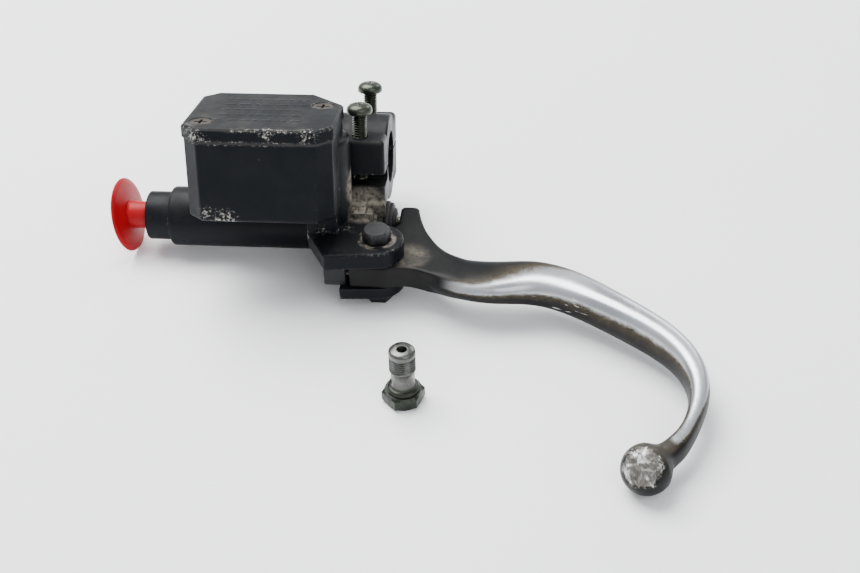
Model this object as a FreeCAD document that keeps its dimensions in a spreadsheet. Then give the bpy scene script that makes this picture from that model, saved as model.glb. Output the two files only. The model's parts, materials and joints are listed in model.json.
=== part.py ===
"""Front brake master cylinder of a motorcycle, with its lever, reservoir and handlebar clamp.

Frame: millimetres, +X along the cylinder bore towards the lever, +Z up from the surface that
the part lies on, and the origin on the axis of the handlebar, halfway along the clamp. The
lever turns about a vertical pivot. The reservoir and the clamp lean back by the angle "tilt"
about the handlebar axis: they are drawn upright and leaned by their Placement.
"""
import FreeCAD, Part
import math
import os
import Sketcher

Vector = FreeCAD.Vector
Rotation = FreeCAD.Rotation

DIMENSIONS = {
    # handlebar clamp, drawn upright
    "tilt": 12.5,
    "bar_radius": 11.1,
    "clamp_radius": 18.2,
    "clamp_width": 21.0,
    "clamp_gap": 1.2,
    "clamp_lug_depth": 13.0,
    "clamp_front_lug_top": 15.0,
    "clamp_rear_lug_top": 12.5,
    "clamp_recess_depth": 4.4,
    "clamp_recess_wall": 1.6,
    "clamp_lug_base": -15.0,
    "clamp_screw_offset": 18.3,
    "clamp_screw_radius": 3.0,
    "clamp_screw_length": 28.0,
    "clamp_screw_head_radius": 5.25,
    "clamp_screw_head_height": 4.0,
    "front_screw_backed_out": 9.7,
    "rear_screw_backed_out": 10.4,
    # reservoir and lid, drawn upright
    "lid_left": -63.8,
    "lid_front": -61.0,
    "lid_length": 58.6,
    "lid_depth": 48.0,
    "lid_base": 25.4,
    "lid_height": 5.2,
    "lid_top_thickness": 2.0,
    "lid_rim": 3.4,
    "lid_corner": 6.0,
    "lid_far_corner": 13.5,
    "lid_overhang": 0.5,
    "gasket_thickness": 1.0,
    "reservoir_floor": -7.4,
    "reservoir_wall": 2.6,
    "lid_screw_inset_left": 6.8,
    "lid_screw_inset_front": 9.9,
    "lid_screw_inset_right": 7.9,
    "lid_screw_inset_back": 15.3,
    "lid_screw_radius": 2.0,
    "lid_screw_head_radius": 4.1,
    "lid_screw_length": 14.0,
    "lid_post_radius": 4.4,
    "bulge_x": -16.4,
    "bulge_y": -32.6,
    "bulge_radius": 14.2,
    "bulge_top": 20.0,
    "bulge_clearance": 0.4,
    "sight_x": -38.0,
    "sight_z": 12.0,
    "sight_radius": 8.0,
    # cylinder
    "bore_y": -21.5,
    "bore_z": -18.6,
    "bore_radius": 7.0,
    "bore_end": -60.0,
    "mouth_x": 7.2,
    "mouth_radius": 10.6,
    "mouth_bore_radius": 8.6,
    "mouth_bore_depth": 8.0,
    "hood_right": 10.6,
    "hood_top": -5.0,
    "boot_clearance": 9.3,
    "barrel_left": -80.5,
    "barrel_right": 4.0,
    "barrel_radius": 12.5,
    "port_face": -90.7,
    "port_boss_radius": 10.2,
    "port_boss_length": 12.5,
    "port_radius": 5.0,
    "port_depth": 13.0,
    # lever pivot
    "pivot_x": 9.8,
    "pivot_y": -52.0,
    "rest_z": -34.2,
    "ear_radius": 10.7,
    "upper_ear_base": -12.9,
    "upper_ear_thickness": 6.9,
    "lower_ear_base": -28.4,
    "lower_ear_thickness": 5.3,
    "pivot_bolt_radius": 3.0,
    "pivot_shoulder_radius": 4.0,
    "pivot_head_across": 10.0,
    "pivot_head_height": 5.0,
    "bush_radius": 5.2,
    "running_gap": 0.05,
    "lever_thickness": 9.9,
    "lever_base": -22.95,
    "lever_root_radius": 10.4,
    "horn_face": 6.6,
    "horn_top": 33.8,
    "ball_radius": 9.05,
    # brake light switch
    "switch_left": -11.2,
    "switch_front": -60.5,
    "switch_base": -23.0,
    "switch_length": 9.0,
    "switch_depth": 16.0,
    "switch_height": 9.9,
    "plunger_radius": 1.3,
    # transit plug and loose banjo bolt
    "plug_disc_radius": 15.8,
    "plug_disc_thickness": 1.6,
    "plug_stem_radius": 5.7,
    "plug_stem_length": 7.5,
    "plug_spigot_radius": 4.9,
    "plug_spigot_length": 8.0,
    "banjo_x": 25.2,
    "banjo_y": -113.6,
    "banjo_across": 14.0,
    "banjo_head": 5.4,
    "banjo_length": 24.0,
    "banjo_thread_radius": 4.95,
}

doc = FreeCAD.newDocument("master_cylinder")
sheet = doc.addObject("Spreadsheet::Sheet", "dims")
for row, (alias, value) in enumerate(DIMENSIONS.items(), start=1):
    sheet.set(f"A{row}", alias)
    sheet.set(f"B{row}", str(value))
    sheet.setAlias(f"B{row}", alias)
doc.recompute()

TURN_TO = {
    "+X": Rotation(Vector(0, 1, 0), 90),
    "-X": Rotation(Vector(0, 1, 0), -90),
    "+Y": Rotation(Vector(1, 0, 0), -90),
    "+Z": Rotation(),
    "-Z": Rotation(Vector(1, 0, 0), 180),
}
HALF_ACROSS_CORNERS = 0.5 / math.cos(math.radians(30))
PARTS = []


def size(alias):
    """The value of a driving dimension, in millimetres or degrees."""
    return float(sheet.get(alias))


def formula(text):
    """An expression with its aliases pointed at the sheet; a number is passed through."""
    words = []
    for word in str(text).replace("(", " ( ").replace(")", " ) ").split():
        words.append("dims." + word.lstrip("-") if word.lstrip("-") in DIMENSIONS else word)
        if word.startswith("-") and word.lstrip("-") in DIMENSIONS:
            words[-1] = "-" + words[-1]
    return " ".join(words)


def bind(thing, properties):
    """Bind each property of an object to an expression of the sheet."""
    for name, text in properties.items():
        thing.setExpression(name, formula(text))


def place(thing, at, turn=None):
    """Put an object at a point given by three expressions, turned by a fixed rotation."""
    if turn is not None:
        thing.Placement = FreeCAD.Placement(Vector(), turn)
    bind(thing, {f"Placement.Base.{axis}": text for axis, text in zip("xyz", at)})
    return thing


def box(name, at, length, width, height):
    thing = doc.addObject("Part::Box", name)
    bind(thing, {"Length": length, "Width": width, "Height": height})
    return place(thing, at)


def cylinder(name, at, radius, length, towards="+Z"):
    thing = doc.addObject("Part::Cylinder", name)
    bind(thing, {"Radius": radius, "Height": length})
    return place(thing, at, TURN_TO[towards])


def cone(name, at, radius_start, radius_end, length, towards="+Z"):
    thing = doc.addObject("Part::Cone", name)
    bind(thing, {"Radius1": radius_start, "Radius2": radius_end, "Height": length})
    return place(thing, at, TURN_TO[towards])


def hexagon(name, at, across, height):
    """A hexagonal prism standing on +Z, of the given width across its flats."""
    thing = doc.addObject("Part::Prism", name)
    thing.Polygon = 6
    bind(thing, {"Circumradius": f"{across} * {HALF_ACROSS_CORNERS:.6f}", "Height": height})
    return place(thing, at)


def fuse(name, shapes):
    thing = doc.addObject("Part::MultiFuse", name)
    thing.Shapes = shapes
    thing.Refine = True
    return thing


def cut(name, base, tools):
    tool = tools[0] if len(tools) == 1 else fuse(name + "_tool", tools)
    thing = doc.addObject("Part::Cut", name)
    thing.Base = base
    thing.Tool = tool
    thing.Refine = True
    return thing


def fillet(name, base, radius, chosen):
    """Round the edges of base that the function chosen accepts."""
    doc.recompute()
    thing = doc.addObject("Part::Fillet", name)
    thing.Base = base
    edges = base.Shape.Edges
    thing.Edges = [(i, radius, radius) for i, edge in enumerate(edges, start=1) if chosen(edge)]
    return thing


def lean(thing):
    """Lean an upright object back about the handlebar axis, which passes the origin."""
    thing.Placement = FreeCAD.Placement(Vector(), Rotation(Vector(1, 0, 0), 0))
    bind(thing, {"Placement.Rotation.Angle": "-tilt", "Placement.Rotation.Axis.x": 1,
                 "Placement.Rotation.Axis.y": 0, "Placement.Rotation.Axis.z": 0})
    return thing


def keep(thing, name):
    """Name an object as one of the finished sub-parts."""
    thing.Label = name
    PARTS.append(thing)
    return thing


# ---------------------------------------------------------------- sketched bodies


def new_body(name):
    return doc.addObject("PartDesign::Body", name)


def new_sketch(body, name, plane="XY_Plane"):
    sketch = body.newObject("Sketcher::SketchObject", name)
    support = next(f for f in body.Origin.OriginFeatures if f.Role == plane)
    sketch.AttachmentSupport = [(support, "")]
    sketch.MapMode = "FlatFace"
    return sketch


def closed_outline(sketch, corners):
    """A closed run of straight lines, each corner held by two distances from the origin."""
    count = len(corners)
    ring = [Vector(10 * math.cos(math.tau * i / count), 10 * math.sin(math.tau * i / count), 0)
            for i in range(count)]
    for start, end in zip(ring, ring[1:] + ring[:1]):
        sketch.addGeometry(Part.LineSegment(start, end), False)
    for i, corner in enumerate(corners):
        sketch.addConstraint(Sketcher.Constraint("Coincident", i, 2, (i + 1) % count, 1))
        for kind, axis, text in (("DistanceX", -2, corner[0]), ("DistanceY", -1, corner[1])):
            if text == "0":
                sketch.addConstraint(Sketcher.Constraint("PointOnObject", i, 1, axis))
                continue
            index = sketch.addConstraint(Sketcher.Constraint(kind, -1, 1, i, 1, 10.0))
            sketch.setExpression(f"Constraints[{index}]", formula(text))


def pad(body, name, sketch, length):
    feature = body.newObject("PartDesign::Pad", name)
    feature.Profile = sketch
    bind(feature, {"Length": length})
    doc.recompute()
    return feature


def octagon(length, depth, corner, far_corner, inset="0"):
    """Corners of a rectangle from the sketch's origin with three small and one large chamfer."""
    right = f"{length} - ({inset})"
    back = f"{depth} - ({inset})"
    return [
        (f"{inset} + {corner}", inset),
        (f"{right} - {corner}", inset),
        (right, f"{inset} + {corner}"),
        (right, f"{back} - {far_corner}"),
        (f"{right} - {far_corner}", back),
        (f"{inset} + {corner}", back),
        (inset, f"{back} - {corner}"),
        (inset, f"{inset} + {corner}"),
    ]


def turned(name, at, steps, towards="+X"):
    """A turned piece: cylinders end to end from a point, each a (length, radius) pair."""
    body = new_body(name)
    sketch = new_sketch(body, name + "_profile", "XZ_Plane")
    corners = [("0", "0")]
    travelled = ""
    for length, radius in steps:
        corners.append((str(radius), travelled or "0"))
        travelled = f"{travelled} + {length}" if travelled else str(length)
        corners.append((str(radius), travelled))
    corners.append(("0", travelled))
    closed_outline(sketch, corners)
    feature = body.newObject("PartDesign::Revolution", name + "_turned")
    feature.Profile = sketch
    feature.ReferenceAxis = (sketch, ["V_Axis"])
    feature.Angle = 360
    doc.recompute()
    return place(body, at, TURN_TO[towards])


# ---------------------------------------------------------------- casting

LID_SCREWS = {
    "left": ("lid_left + lid_screw_inset_left", "lid_front + lid_screw_inset_front"),
    "right": ("lid_left + lid_length - lid_screw_inset_right",
              "lid_front + lid_depth - lid_screw_inset_back"),
}
CLAMP_SCREWS = {"front": "-clamp_screw_offset", "rear": "clamp_screw_offset"}
BORE = ("bore_y", "bore_z")
SWITCH_SCREW = ("switch_left + 3.6", "switch_front + 7.5")


def reservoir_block():
    """The reservoir's outside, an eight-sided box, and its hollow, both upright."""
    outer = new_body("reservoir_outside")
    sketch = new_sketch(outer, "reservoir_outline")
    closed_outline(sketch, octagon("lid_length", "lid_depth", "lid_corner", "lid_far_corner",
                                   "lid_overhang"))
    pad(outer, "reservoir_pad", sketch, "lid_base - gasket_thickness - reservoir_floor")
    place(outer, ("lid_left", "lid_front", "reservoir_floor"))
    inner = new_body("reservoir_inside")
    sketch = new_sketch(inner, "hollow_outline")
    closed_outline(sketch, octagon("lid_length", "lid_depth", "lid_corner", "lid_far_corner",
                                   "lid_overhang + reservoir_wall"))
    pad(inner, "hollow_pad", sketch, "lid_base - reservoir_floor")
    place(inner, ("lid_left", "lid_front", "reservoir_floor + reservoir_wall"))
    return fillet("reservoir_rounded", outer, 1.6, foot_or_upright), inner


def foot_or_upright(edge):
    """True for the edges round the foot of the reservoir and for its upright edges."""
    at_foot = edge.BoundBox.ZMax < size("reservoir_floor") + 0.01
    upright = edge.BoundBox.ZLength > 1.0
    return at_foot or upright


def clamp_half(name, below):
    """Half of the clamp ring with its two screw lugs, on one side of the gap."""
    ring = cylinder(name + "_ring", ("-clamp_width / 2", "0", "0"), "clamp_radius",
                    "clamp_width", "+X")
    ring = fillet(name + "_ring_rounded", ring, 1.0, lambda edge: edge.BoundBox.XLength < 0.01)
    lugs = []
    for side, y in CLAMP_SCREWS.items():
        base, top = ("clamp_lug_base", "0") if below else ("0", f"clamp_{side}_lug_top")
        lug = box(f"{name}_{side}_lug", ("-clamp_width / 2", f"{y} - clamp_lug_depth / 2", base),
                  "clamp_width", "clamp_lug_depth", f"{top} - ({base})")
        lugs.append(fillet(f"{name}_{side}_lug_rounded", lug, 2.2,
                           lambda edge: edge.BoundBox.ZLength > 1 or edge.BoundBox.ZMin > 1))
    whole = fuse(name + "_ring_and_lugs", [ring] + lugs)
    floor = "-clamp_gap / 2" if below else "clamp_gap / 2 - 40"
    keep_out = box(name + "_half_space", (-20, -40, floor), 40, 80, 40)
    return cut(name + "_half", whole, [keep_out])


def upright_casting():
    """Reservoir, lower half of the handlebar clamp and the webs under them; and the hollow."""
    outside, inside = reservoir_block()
    post_height = "lid_base - gasket_thickness - reservoir_floor"
    posts = [cylinder("lid_post_" + side, (x, y, "reservoir_floor"), "lid_post_radius", post_height)
             for side, (x, y) in LID_SCREWS.items()]
    hollow = cut("reservoir_hollow", inside, posts)
    bulge = cylinder("side_bulge", ("bulge_x", "bulge_y", -20), "bulge_radius", "bulge_top + 20")
    bulge = fillet("side_bulge_rounded", bulge, 2.5, lambda edge: edge.BoundBox.ZMin > 10)
    under_floor = box("under_floor", (-40, -60, -21), 21.6, 60, "reservoir_floor + 21.5")
    bulge = cut("side_bulge_trimmed", bulge, [under_floor])
    recess = box("front_lug_recess", (-20, -40, "-clamp_gap / 2 - clamp_recess_depth"), 40,
                 "40 - bar_radius - clamp_recess_wall", 10)
    half_ring = cut("lower_half_recessed", clamp_half("lower", below=True), [recess])
    saddle = box("saddle_web", (-9, -33, -27), 15, 24, 13.5)
    corner_web = box("corner_web", (-18.2, -46.5, -20), 12, 30, 15)
    neck = box("neck", (-58, -29, -15), 48, 12, 10)
    return [outside, bulge, half_ring, saddle, corner_web, neck], hollow


def ear_plate(left_end, thickness, base, radius_of_rim, rim_height):
    """A lever ear: a flat plate with a round end about the pivot and one rim rounded."""
    x, y, radius = size("pivot_x"), size("pivot_y"), size("ear_radius")
    low = Vector(x, y - radius, 0)
    high = Vector(x, y + radius, 0)
    corners = [high, Vector(3.5, -37.5, 0), Vector(3.5, -25, 0)] + left_end + [low]
    edges = [Part.LineSegment(a, b).toShape() for a, b in zip(corners, corners[1:])]
    edges.append(Part.Arc(low, Vector(x + radius, y, 0), high).toShape())
    plate = Part.Face(Part.Wire(edges)).extrude(Vector(0, 0, thickness))
    plate.translate(Vector(0, 0, base))
    rim = [edge for edge in plate.Edges
           if abs(edge.BoundBox.ZMin - rim_height) < 0.01 and edge.BoundBox.ZLength < 0.01
           and edge.BoundBox.YMax < -37]
    return plate.makeFillet(radius_of_rim, rim)


def lever_ears():
    """The two ears that carry the lever, above and below its slot."""
    base, thickness = size("upper_ear_base"), size("upper_ear_thickness")
    left_end = [Vector(-18.3, -25, 0), Vector(-18.3, -48.8, 0), Vector(-9.9, -64.6, 0)]
    upper = ear_plate(left_end, thickness, base, 0.9, base + thickness)
    base, thickness = size("lower_ear_base"), size("lower_ear_thickness")
    left_end = [Vector(-4.7, -25, 0), Vector(-4.7, -63.6, 0)]
    lower = ear_plate(left_end, thickness, base, 1.2, base)
    ears = []
    for name, shape in (("upper_ear", upper), ("lower_ear", lower)):
        ear = doc.addObject("Part::Feature", name)
        ear.Shape = shape
        ears.append(ear)
    return ears


def level_casting():
    """Cylinder barrel, its end bosses, the hood over the boot, and the lever's ears and slot."""
    barrel = cylinder("barrel", ("barrel_left", *BORE), "barrel_radius",
                      "barrel_right - barrel_left", "+X")
    barrel = fillet("barrel_rounded", barrel, 1.5,
                    lambda edge: edge.BoundBox.XMax < size("barrel_left") + 0.1)
    mouth = cylinder("mouth_boss", ("0", *BORE), "mouth_radius", "mouth_x", "+X")
    port = cylinder("port_boss", ("port_face", *BORE), "port_boss_radius", "port_boss_length",
                    "+X")
    port = fillet("port_boss_rounded", port, 0.8,
                  lambda edge: edge.BoundBox.XMax < size("port_face") + 0.1)
    hood = box("mouth_hood", (-2, -28, -12.3), "hood_right + 2", 12.5, "hood_top + 12.3")
    hood = fillet("mouth_hood_rounded", hood, 1.6,
                  lambda edge: edge.BoundBox.ZMin > size("hood_top") - 0.1)
    block = box("slot_end_block", (-11.2, -44, "lower_ear_base"), 6.3, 20,
                "upper_ear_base - lower_ear_base + 2")
    shelf = box("shelf", (-18.3, -38, "upper_ear_base"), 21.8, 12, 9)
    return [barrel, mouth, port, hood, block, shelf] + lever_ears()


def leaned_holes(hollow):
    """What is cut from the casting square to the lid and the clamp."""
    screw_floor = "lid_base + lid_height - lid_screw_length - 1"
    holes = [cylinder("lid_screw_hole_" + side, (x, y, screw_floor),
                      "lid_screw_radius + running_gap", 20)
             for side, (x, y) in LID_SCREWS.items()]
    holes += [cylinder("clamp_screw_hole_" + side, ("0", y, "clamp_lug_base + 1"),
                       "clamp_screw_radius + running_gap", 14.5)
              for side, y in CLAMP_SCREWS.items()]
    back = "lid_front + lid_depth - lid_overhang"
    holes.append(cylinder("bar_hole", (-60, "0", "0"), "bar_radius", 120, "+X"))
    holes.append(cylinder("sight_window", ("sight_x", f"{back} - 6", "sight_z"),
                          "sight_radius - 2", 10, "+Y"))
    holes.append(cylinder("sight_seat", ("sight_x", f"{back} - 1.4", "sight_z"), "sight_radius",
                          4, "+Y"))
    return lean(fuse("leaned_holes", [hollow] + holes))


def level_holes():
    """What is cut from the casting along the bore and the lever pivot."""
    pivot = ("pivot_x", "pivot_y")
    return [
        cylinder("bore", ("bore_end", *BORE), "bore_radius", 80, "+X"),
        cylinder("mouth_bore", ("mouth_x - mouth_bore_depth", *BORE), "mouth_bore_radius",
                 "mouth_bore_depth + 1", "+X"),
        cylinder("boot_room", ("mouth_x", *BORE), "boot_clearance", 6, "+X"),
        cylinder("circlip_groove", ("mouth_x - mouth_bore_depth + 1.25", *BORE),
                 "mouth_bore_radius + 0.7", 1.4, "+X"),
        cylinder("port_thread", ("port_face - 1", *BORE), "port_radius", "port_depth + 1", "+X"),
        cylinder("outlet_drilling", ("port_face", *BORE), 2.0, 40, "+X"),
        cylinder("pivot_hole", (*pivot, -40), "pivot_bolt_radius + running_gap", 24),
        cylinder("pivot_shoulder_hole", (*pivot, "upper_ear_base - 1"),
                 "pivot_shoulder_radius + running_gap", 12),
        cylinder("switch_screw_hole", (*SWITCH_SCREW, -14), 1.55, 6),
        cylinder("feed_drilling", (-26, -24, "bore_z"), 1.0, 24),
    ]


def make_casting():
    leaned, hollow = upright_casting()
    upright = lean(fuse("upright_casting", leaned))
    level = fuse("level_casting", level_casting())
    whole = fuse("casting_outside", [upright, level])
    keep(cut("casting", whole, [leaned_holes(hollow)] + level_holes()), "master_cylinder_body")


# ---------------------------------------------------------------- reservoir top


def make_lid():
    """The lid: an eight-sided tray, upside down, with a bevelled top and two screw holes."""
    body = new_body("lid_body")
    outline = new_sketch(body, "lid_outline")
    closed_outline(outline, octagon("lid_length", "lid_depth", "lid_corner", "lid_far_corner"))
    block = pad(body, "lid_pad", outline, "lid_height")
    place(body, ("lid_left", "lid_front", "lid_base"))
    top = size("lid_height")
    doc.recompute()
    bevel = body.newObject("PartDesign::Chamfer", "lid_bevel")
    names = [f"Edge{i}" for i, edge in enumerate(block.Shape.Edges, start=1)
             if edge.BoundBox.ZMin > top - 0.01]
    bevel.Base = (block, names)
    bevel.Size = 0.8
    doc.recompute()
    hollow = new_body("lid_hollow")
    outline = new_sketch(hollow, "lid_hollow_outline")
    closed_outline(outline, octagon("lid_length", "lid_depth", "lid_corner", "lid_far_corner",
                                    "lid_rim"))
    pad(hollow, "lid_hollow_pad", outline, "lid_height - lid_top_thickness + 1")
    place(hollow, ("lid_left", "lid_front", "lid_base - 1"))
    posts = [cylinder("lid_boss_" + side, (x, y, "lid_base - 2"), "lid_post_radius", 10)
             for side, (x, y) in LID_SCREWS.items()]
    inside = cut("lid_inside", hollow, posts)
    holes = [cylinder("lid_hole_" + side, (x, y, "lid_base - 1"), "lid_screw_radius + 0.2", 8)
             for side, (x, y) in LID_SCREWS.items()]
    sinks = [cone("lid_sink_" + side, (x, y, "lid_base + lid_height - 2.3"),
                  "lid_screw_radius + 0.2", "lid_screw_head_radius + 0.4", 2.31)
             for side, (x, y) in LID_SCREWS.items()]
    keep(lean(cut("lid", body, [inside] + holes + sinks)), "reservoir_lid")


def cross_slots(name, bottom, length, width):
    """Two crossed boxes that cut a screwdriver recess down to a point on a screw's axis."""
    x, y, z = bottom
    return [box(f"{name}_{i}", (f"{x} - {wide / 2}", f"{y} - {deep / 2}", z), wide, deep, 3)
            for i, (wide, deep) in enumerate(((length, width), (width, length)))]


def make_lid_screws():
    """Two countersunk screws that hold the lid."""
    screws = []
    for side, (x, y) in LID_SCREWS.items():
        top = "lid_base + lid_height"
        shank = cylinder("lid_shank_" + side, (x, y, f"{top} - lid_screw_length"),
                         "lid_screw_radius", "lid_screw_length - 0.4")
        head = cone("lid_head_" + side, (x, y, f"{top} - 2.4"), "lid_screw_radius",
                    "lid_screw_head_radius", 2.1)
        blank = fuse("lid_screw_blank_" + side, [shank, head])
        cross = cross_slots("lid_cross_" + side, (x, y, f"{top} - 1.3"), 5.0, 1.0)
        screws.append(cut("lid_screw_" + side, blank, cross))
    keep(lean(compound("lid_screw_pair", screws)), "lid_screws")


def compound(name, shapes):
    thing = doc.addObject("Part::Compound", name)
    thing.Links = shapes
    return thing


def tray_outline(name, inset, base, thickness):
    """A thin eight-sided plate that follows the lid's outline."""
    body = new_body(name + "_body")
    outline = new_sketch(body, name + "_outline")
    closed_outline(outline, octagon("lid_length", "lid_depth", "lid_corner", "lid_far_corner", inset))
    pad(body, name + "_pad", outline, thickness)
    place(body, ("lid_left", "lid_front", base))
    return body


def make_diaphragm():
    """The rubber diaphragm: a flange under the lid and a folded cup in the reservoir."""
    flange = tray_outline("diaphragm_flange", "lid_overhang", "lid_base - gasket_thickness",
                          "gasket_thickness")
    cup = box("diaphragm_cup", ("lid_left + 14", "lid_front + 9", "lid_base - 9"), 29, 29, 8.5)
    cup = fillet("diaphragm_cup_rounded", cup, 3.0, lambda edge: edge.BoundBox.ZLength > 1)
    well = box("diaphragm_well", ("lid_left + 16", "lid_front + 11", "lid_base - 7.5"), 25, 25, 10)
    holes = [cylinder("diaphragm_hole_" + side, (x, y, "lid_base - 3"), "lid_screw_radius + 0.3", 6)
             for side, (x, y) in LID_SCREWS.items()]
    whole = fuse("diaphragm_whole", [flange, cup])
    keep(lean(cut("diaphragm_cut", whole, [well] + holes)), "diaphragm")
    plate = tray_outline("diaphragm_plate", "lid_rim + 0.4", "lid_base + 0.1", 1.2)
    reliefs = [cylinder("plate_relief_" + side, (x, y, "lid_base - 1"), "lid_post_radius + 0.3", 4)
               for side, (x, y) in LID_SCREWS.items()]
    vent = cylinder("plate_vent", ("lid_left + 28", "lid_front + 24", "lid_base - 1"), 3.0, 4)
    keep(lean(cut("diaphragm_plate_cut", plate, reliefs + [vent])), "diaphragm_plate")


def make_reservoir_fittings():
    """The port baffle on the reservoir's floor and the sight glass with its ring."""
    floor = "reservoir_floor + reservoir_wall + 0.05"
    plate = box("baffle_plate", (-34, -34, floor), 15, 13, 1.2)
    slot = box("baffle_slot", (-27, -30, "reservoir_floor"), 2, 6, 10)
    keep(lean(cut("baffle", plate, [slot])), "port_baffle")
    back = "lid_front + lid_depth - lid_overhang"
    glass = turned("sight_lens", ("sight_x", f"{back} - 2.4", "sight_z"),
                   [(1.0, "sight_radius - 2.1"), (1.0, "sight_radius - 0.8")], "+Y")
    keep(lean_turned(glass), "sight_glass")
    ring = cylinder("sight_ring_outer", ("sight_x", f"{back} - 0.35", "sight_z"),
                    "sight_radius - 0.1", 1.1, "+Y")
    hole = cylinder("sight_ring_hole", ("sight_x", f"{back} - 2", "sight_z"),
                    "sight_radius - 2.8", 5, "+Y")
    keep(lean(cut("sight_ring_cut", ring, [hole])), "sight_ring")


def lean_turned(body):
    """Lean a turned piece that already has a place of its own."""
    return lean(compound(body.Name + "_leaned", [body]))


# ---------------------------------------------------------------- clamp cap


def make_clamp_cap():
    """The upper half of the handlebar clamp, cut clear of the bulge on the reservoir."""
    half = clamp_half("upper", below=False)
    tools = [cylinder("cap_bar_hole", (-30, "0", "0"), "bar_radius", 60, "+X"),
             cylinder("cap_bulge_room", ("bulge_x", "bulge_y", -5), "bulge_radius + bulge_clearance",
                      40)]
    tools += [cylinder("cap_hole_" + side, ("0", y, -1), "clamp_screw_radius + 0.3", 30)
              for side, y in CLAMP_SCREWS.items()]
    reliefs = [cylinder("cap_relief_" + side, ("0", y, f"clamp_{side}_lug_top"),
                        "clamp_screw_head_radius + 0.9", 20)
               for side, y in CLAMP_SCREWS.items()]
    keep(lean(cut("cap", half, tools + reliefs)), "clamp_cap")


def make_clamp_screws():
    """Two cross-head screws, both backed part of the way out."""
    screws = []
    for side, y in CLAMP_SCREWS.items():
        seat = f"clamp_{side}_lug_top + {side}_screw_backed_out"
        shank = cylinder("clamp_shank_" + side, ("0", y, f"{seat} - clamp_screw_length"),
                         "clamp_screw_radius", "clamp_screw_length + 1")
        head = cylinder("clamp_head_" + side, ("0", y, seat), "clamp_screw_head_radius",
                        "clamp_screw_head_height")
        head = fillet("clamp_head_rounded_" + side, head, 2.4,
                      lambda edge: edge.BoundBox.ZMin > head.Shape.BoundBox.ZMax - 0.1)
        cross = cross_slots("clamp_cross_" + side, ("0", y, f"{seat} + 2.2"), 5.2, 1.2)
        blank = fuse("clamp_screw_blank_" + side, [shank, head])
        screws.append(cut("clamp_screw_" + side, blank, cross))
    keep(lean(compound("clamp_screw_pair", screws)), "clamp_screws")


# ---------------------------------------------------------------- lever


def blade_section(centre, direction, half_width, half_height):
    """A rounded, slightly square closed curve across the blade."""
    side = Vector(-direction.y, direction.x, 0).normalize()
    corner = 2 / 2.6
    points = []
    for i in range(16):
        angle = math.tau * i / 16
        across, up = math.cos(angle), math.sin(angle)
        reach = math.copysign(abs(across) ** corner, across) * half_width
        rise = math.copysign(abs(up) ** corner, up) * half_height
        points.append(centre + side * reach + Vector(0, 0, rise))
    curve = Part.BSplineCurve()
    curve.interpolate(Points=points, PeriodicFlag=True)
    return Part.Wire(curve.toShape())


# Stations along the blade from the pivot: place in plan, half width, half height.
BLADE = [
    ((25, -4.0), 8.6, 4.5),
    ((34, -8.4), 10.6, 4.9),
    ((44, -9.8), 10.6, 5.5),
    ((56, -9.0), 10.0, 6.4),
    ((68, -9.8), 9.2, 7.2),
    ((80, -15.2), 8.1, 7.6),
    ((93, -24.2), 7.0, 7.9),
    ((106, -34.6), 6.1, 7.9),
    ((115.5, -44.8), 5.3, 7.5),
    ((121, -56.5), 4.5, 6.8),
    ((121.9, -67.0), 3.8, 6.1),
    ((119.6, -77.5), 3.2, 5.4),
    ((115.0, -88.0), 3.4, 5.1),
    ((109.0, -95.5), 4.4, 5.4),
    ((103.5, -100.5), 4.6, 5.2),
]
BALL_PLACE = (101.6, -101.9)


def blade_heights():
    """The height of the blade's middle at each station: it sinks evenly to the ball."""
    start = size("lever_base") + size("lever_thickness") / 2
    end = size("rest_z") + size("ball_radius")
    walk = [0.0]
    for (a, _, _), (b, _, _) in zip(BLADE, BLADE[1:]):
        walk.append(walk[-1] + math.dist(a, b))
    return [start + (end - start) * (s / walk[-1]) ** 1.4 for s in walk]


def lever_blade():
    """The blade, lofted through its stations, in the pivot's frame."""
    centres = [Vector(x, y, z) for ((x, y), _, _), z in zip(BLADE, blade_heights())]
    spine = Part.BSplineCurve()
    spine.interpolate(Points=centres)
    sections = []
    for centre, (_, half_width, half_height) in zip(centres, BLADE):
        direction = spine.tangent(spine.parameter(centre))[0]
        sections.append(blade_section(centre, direction, half_width, half_height))
    return Part.makeLoft(sections, True, False)


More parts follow.
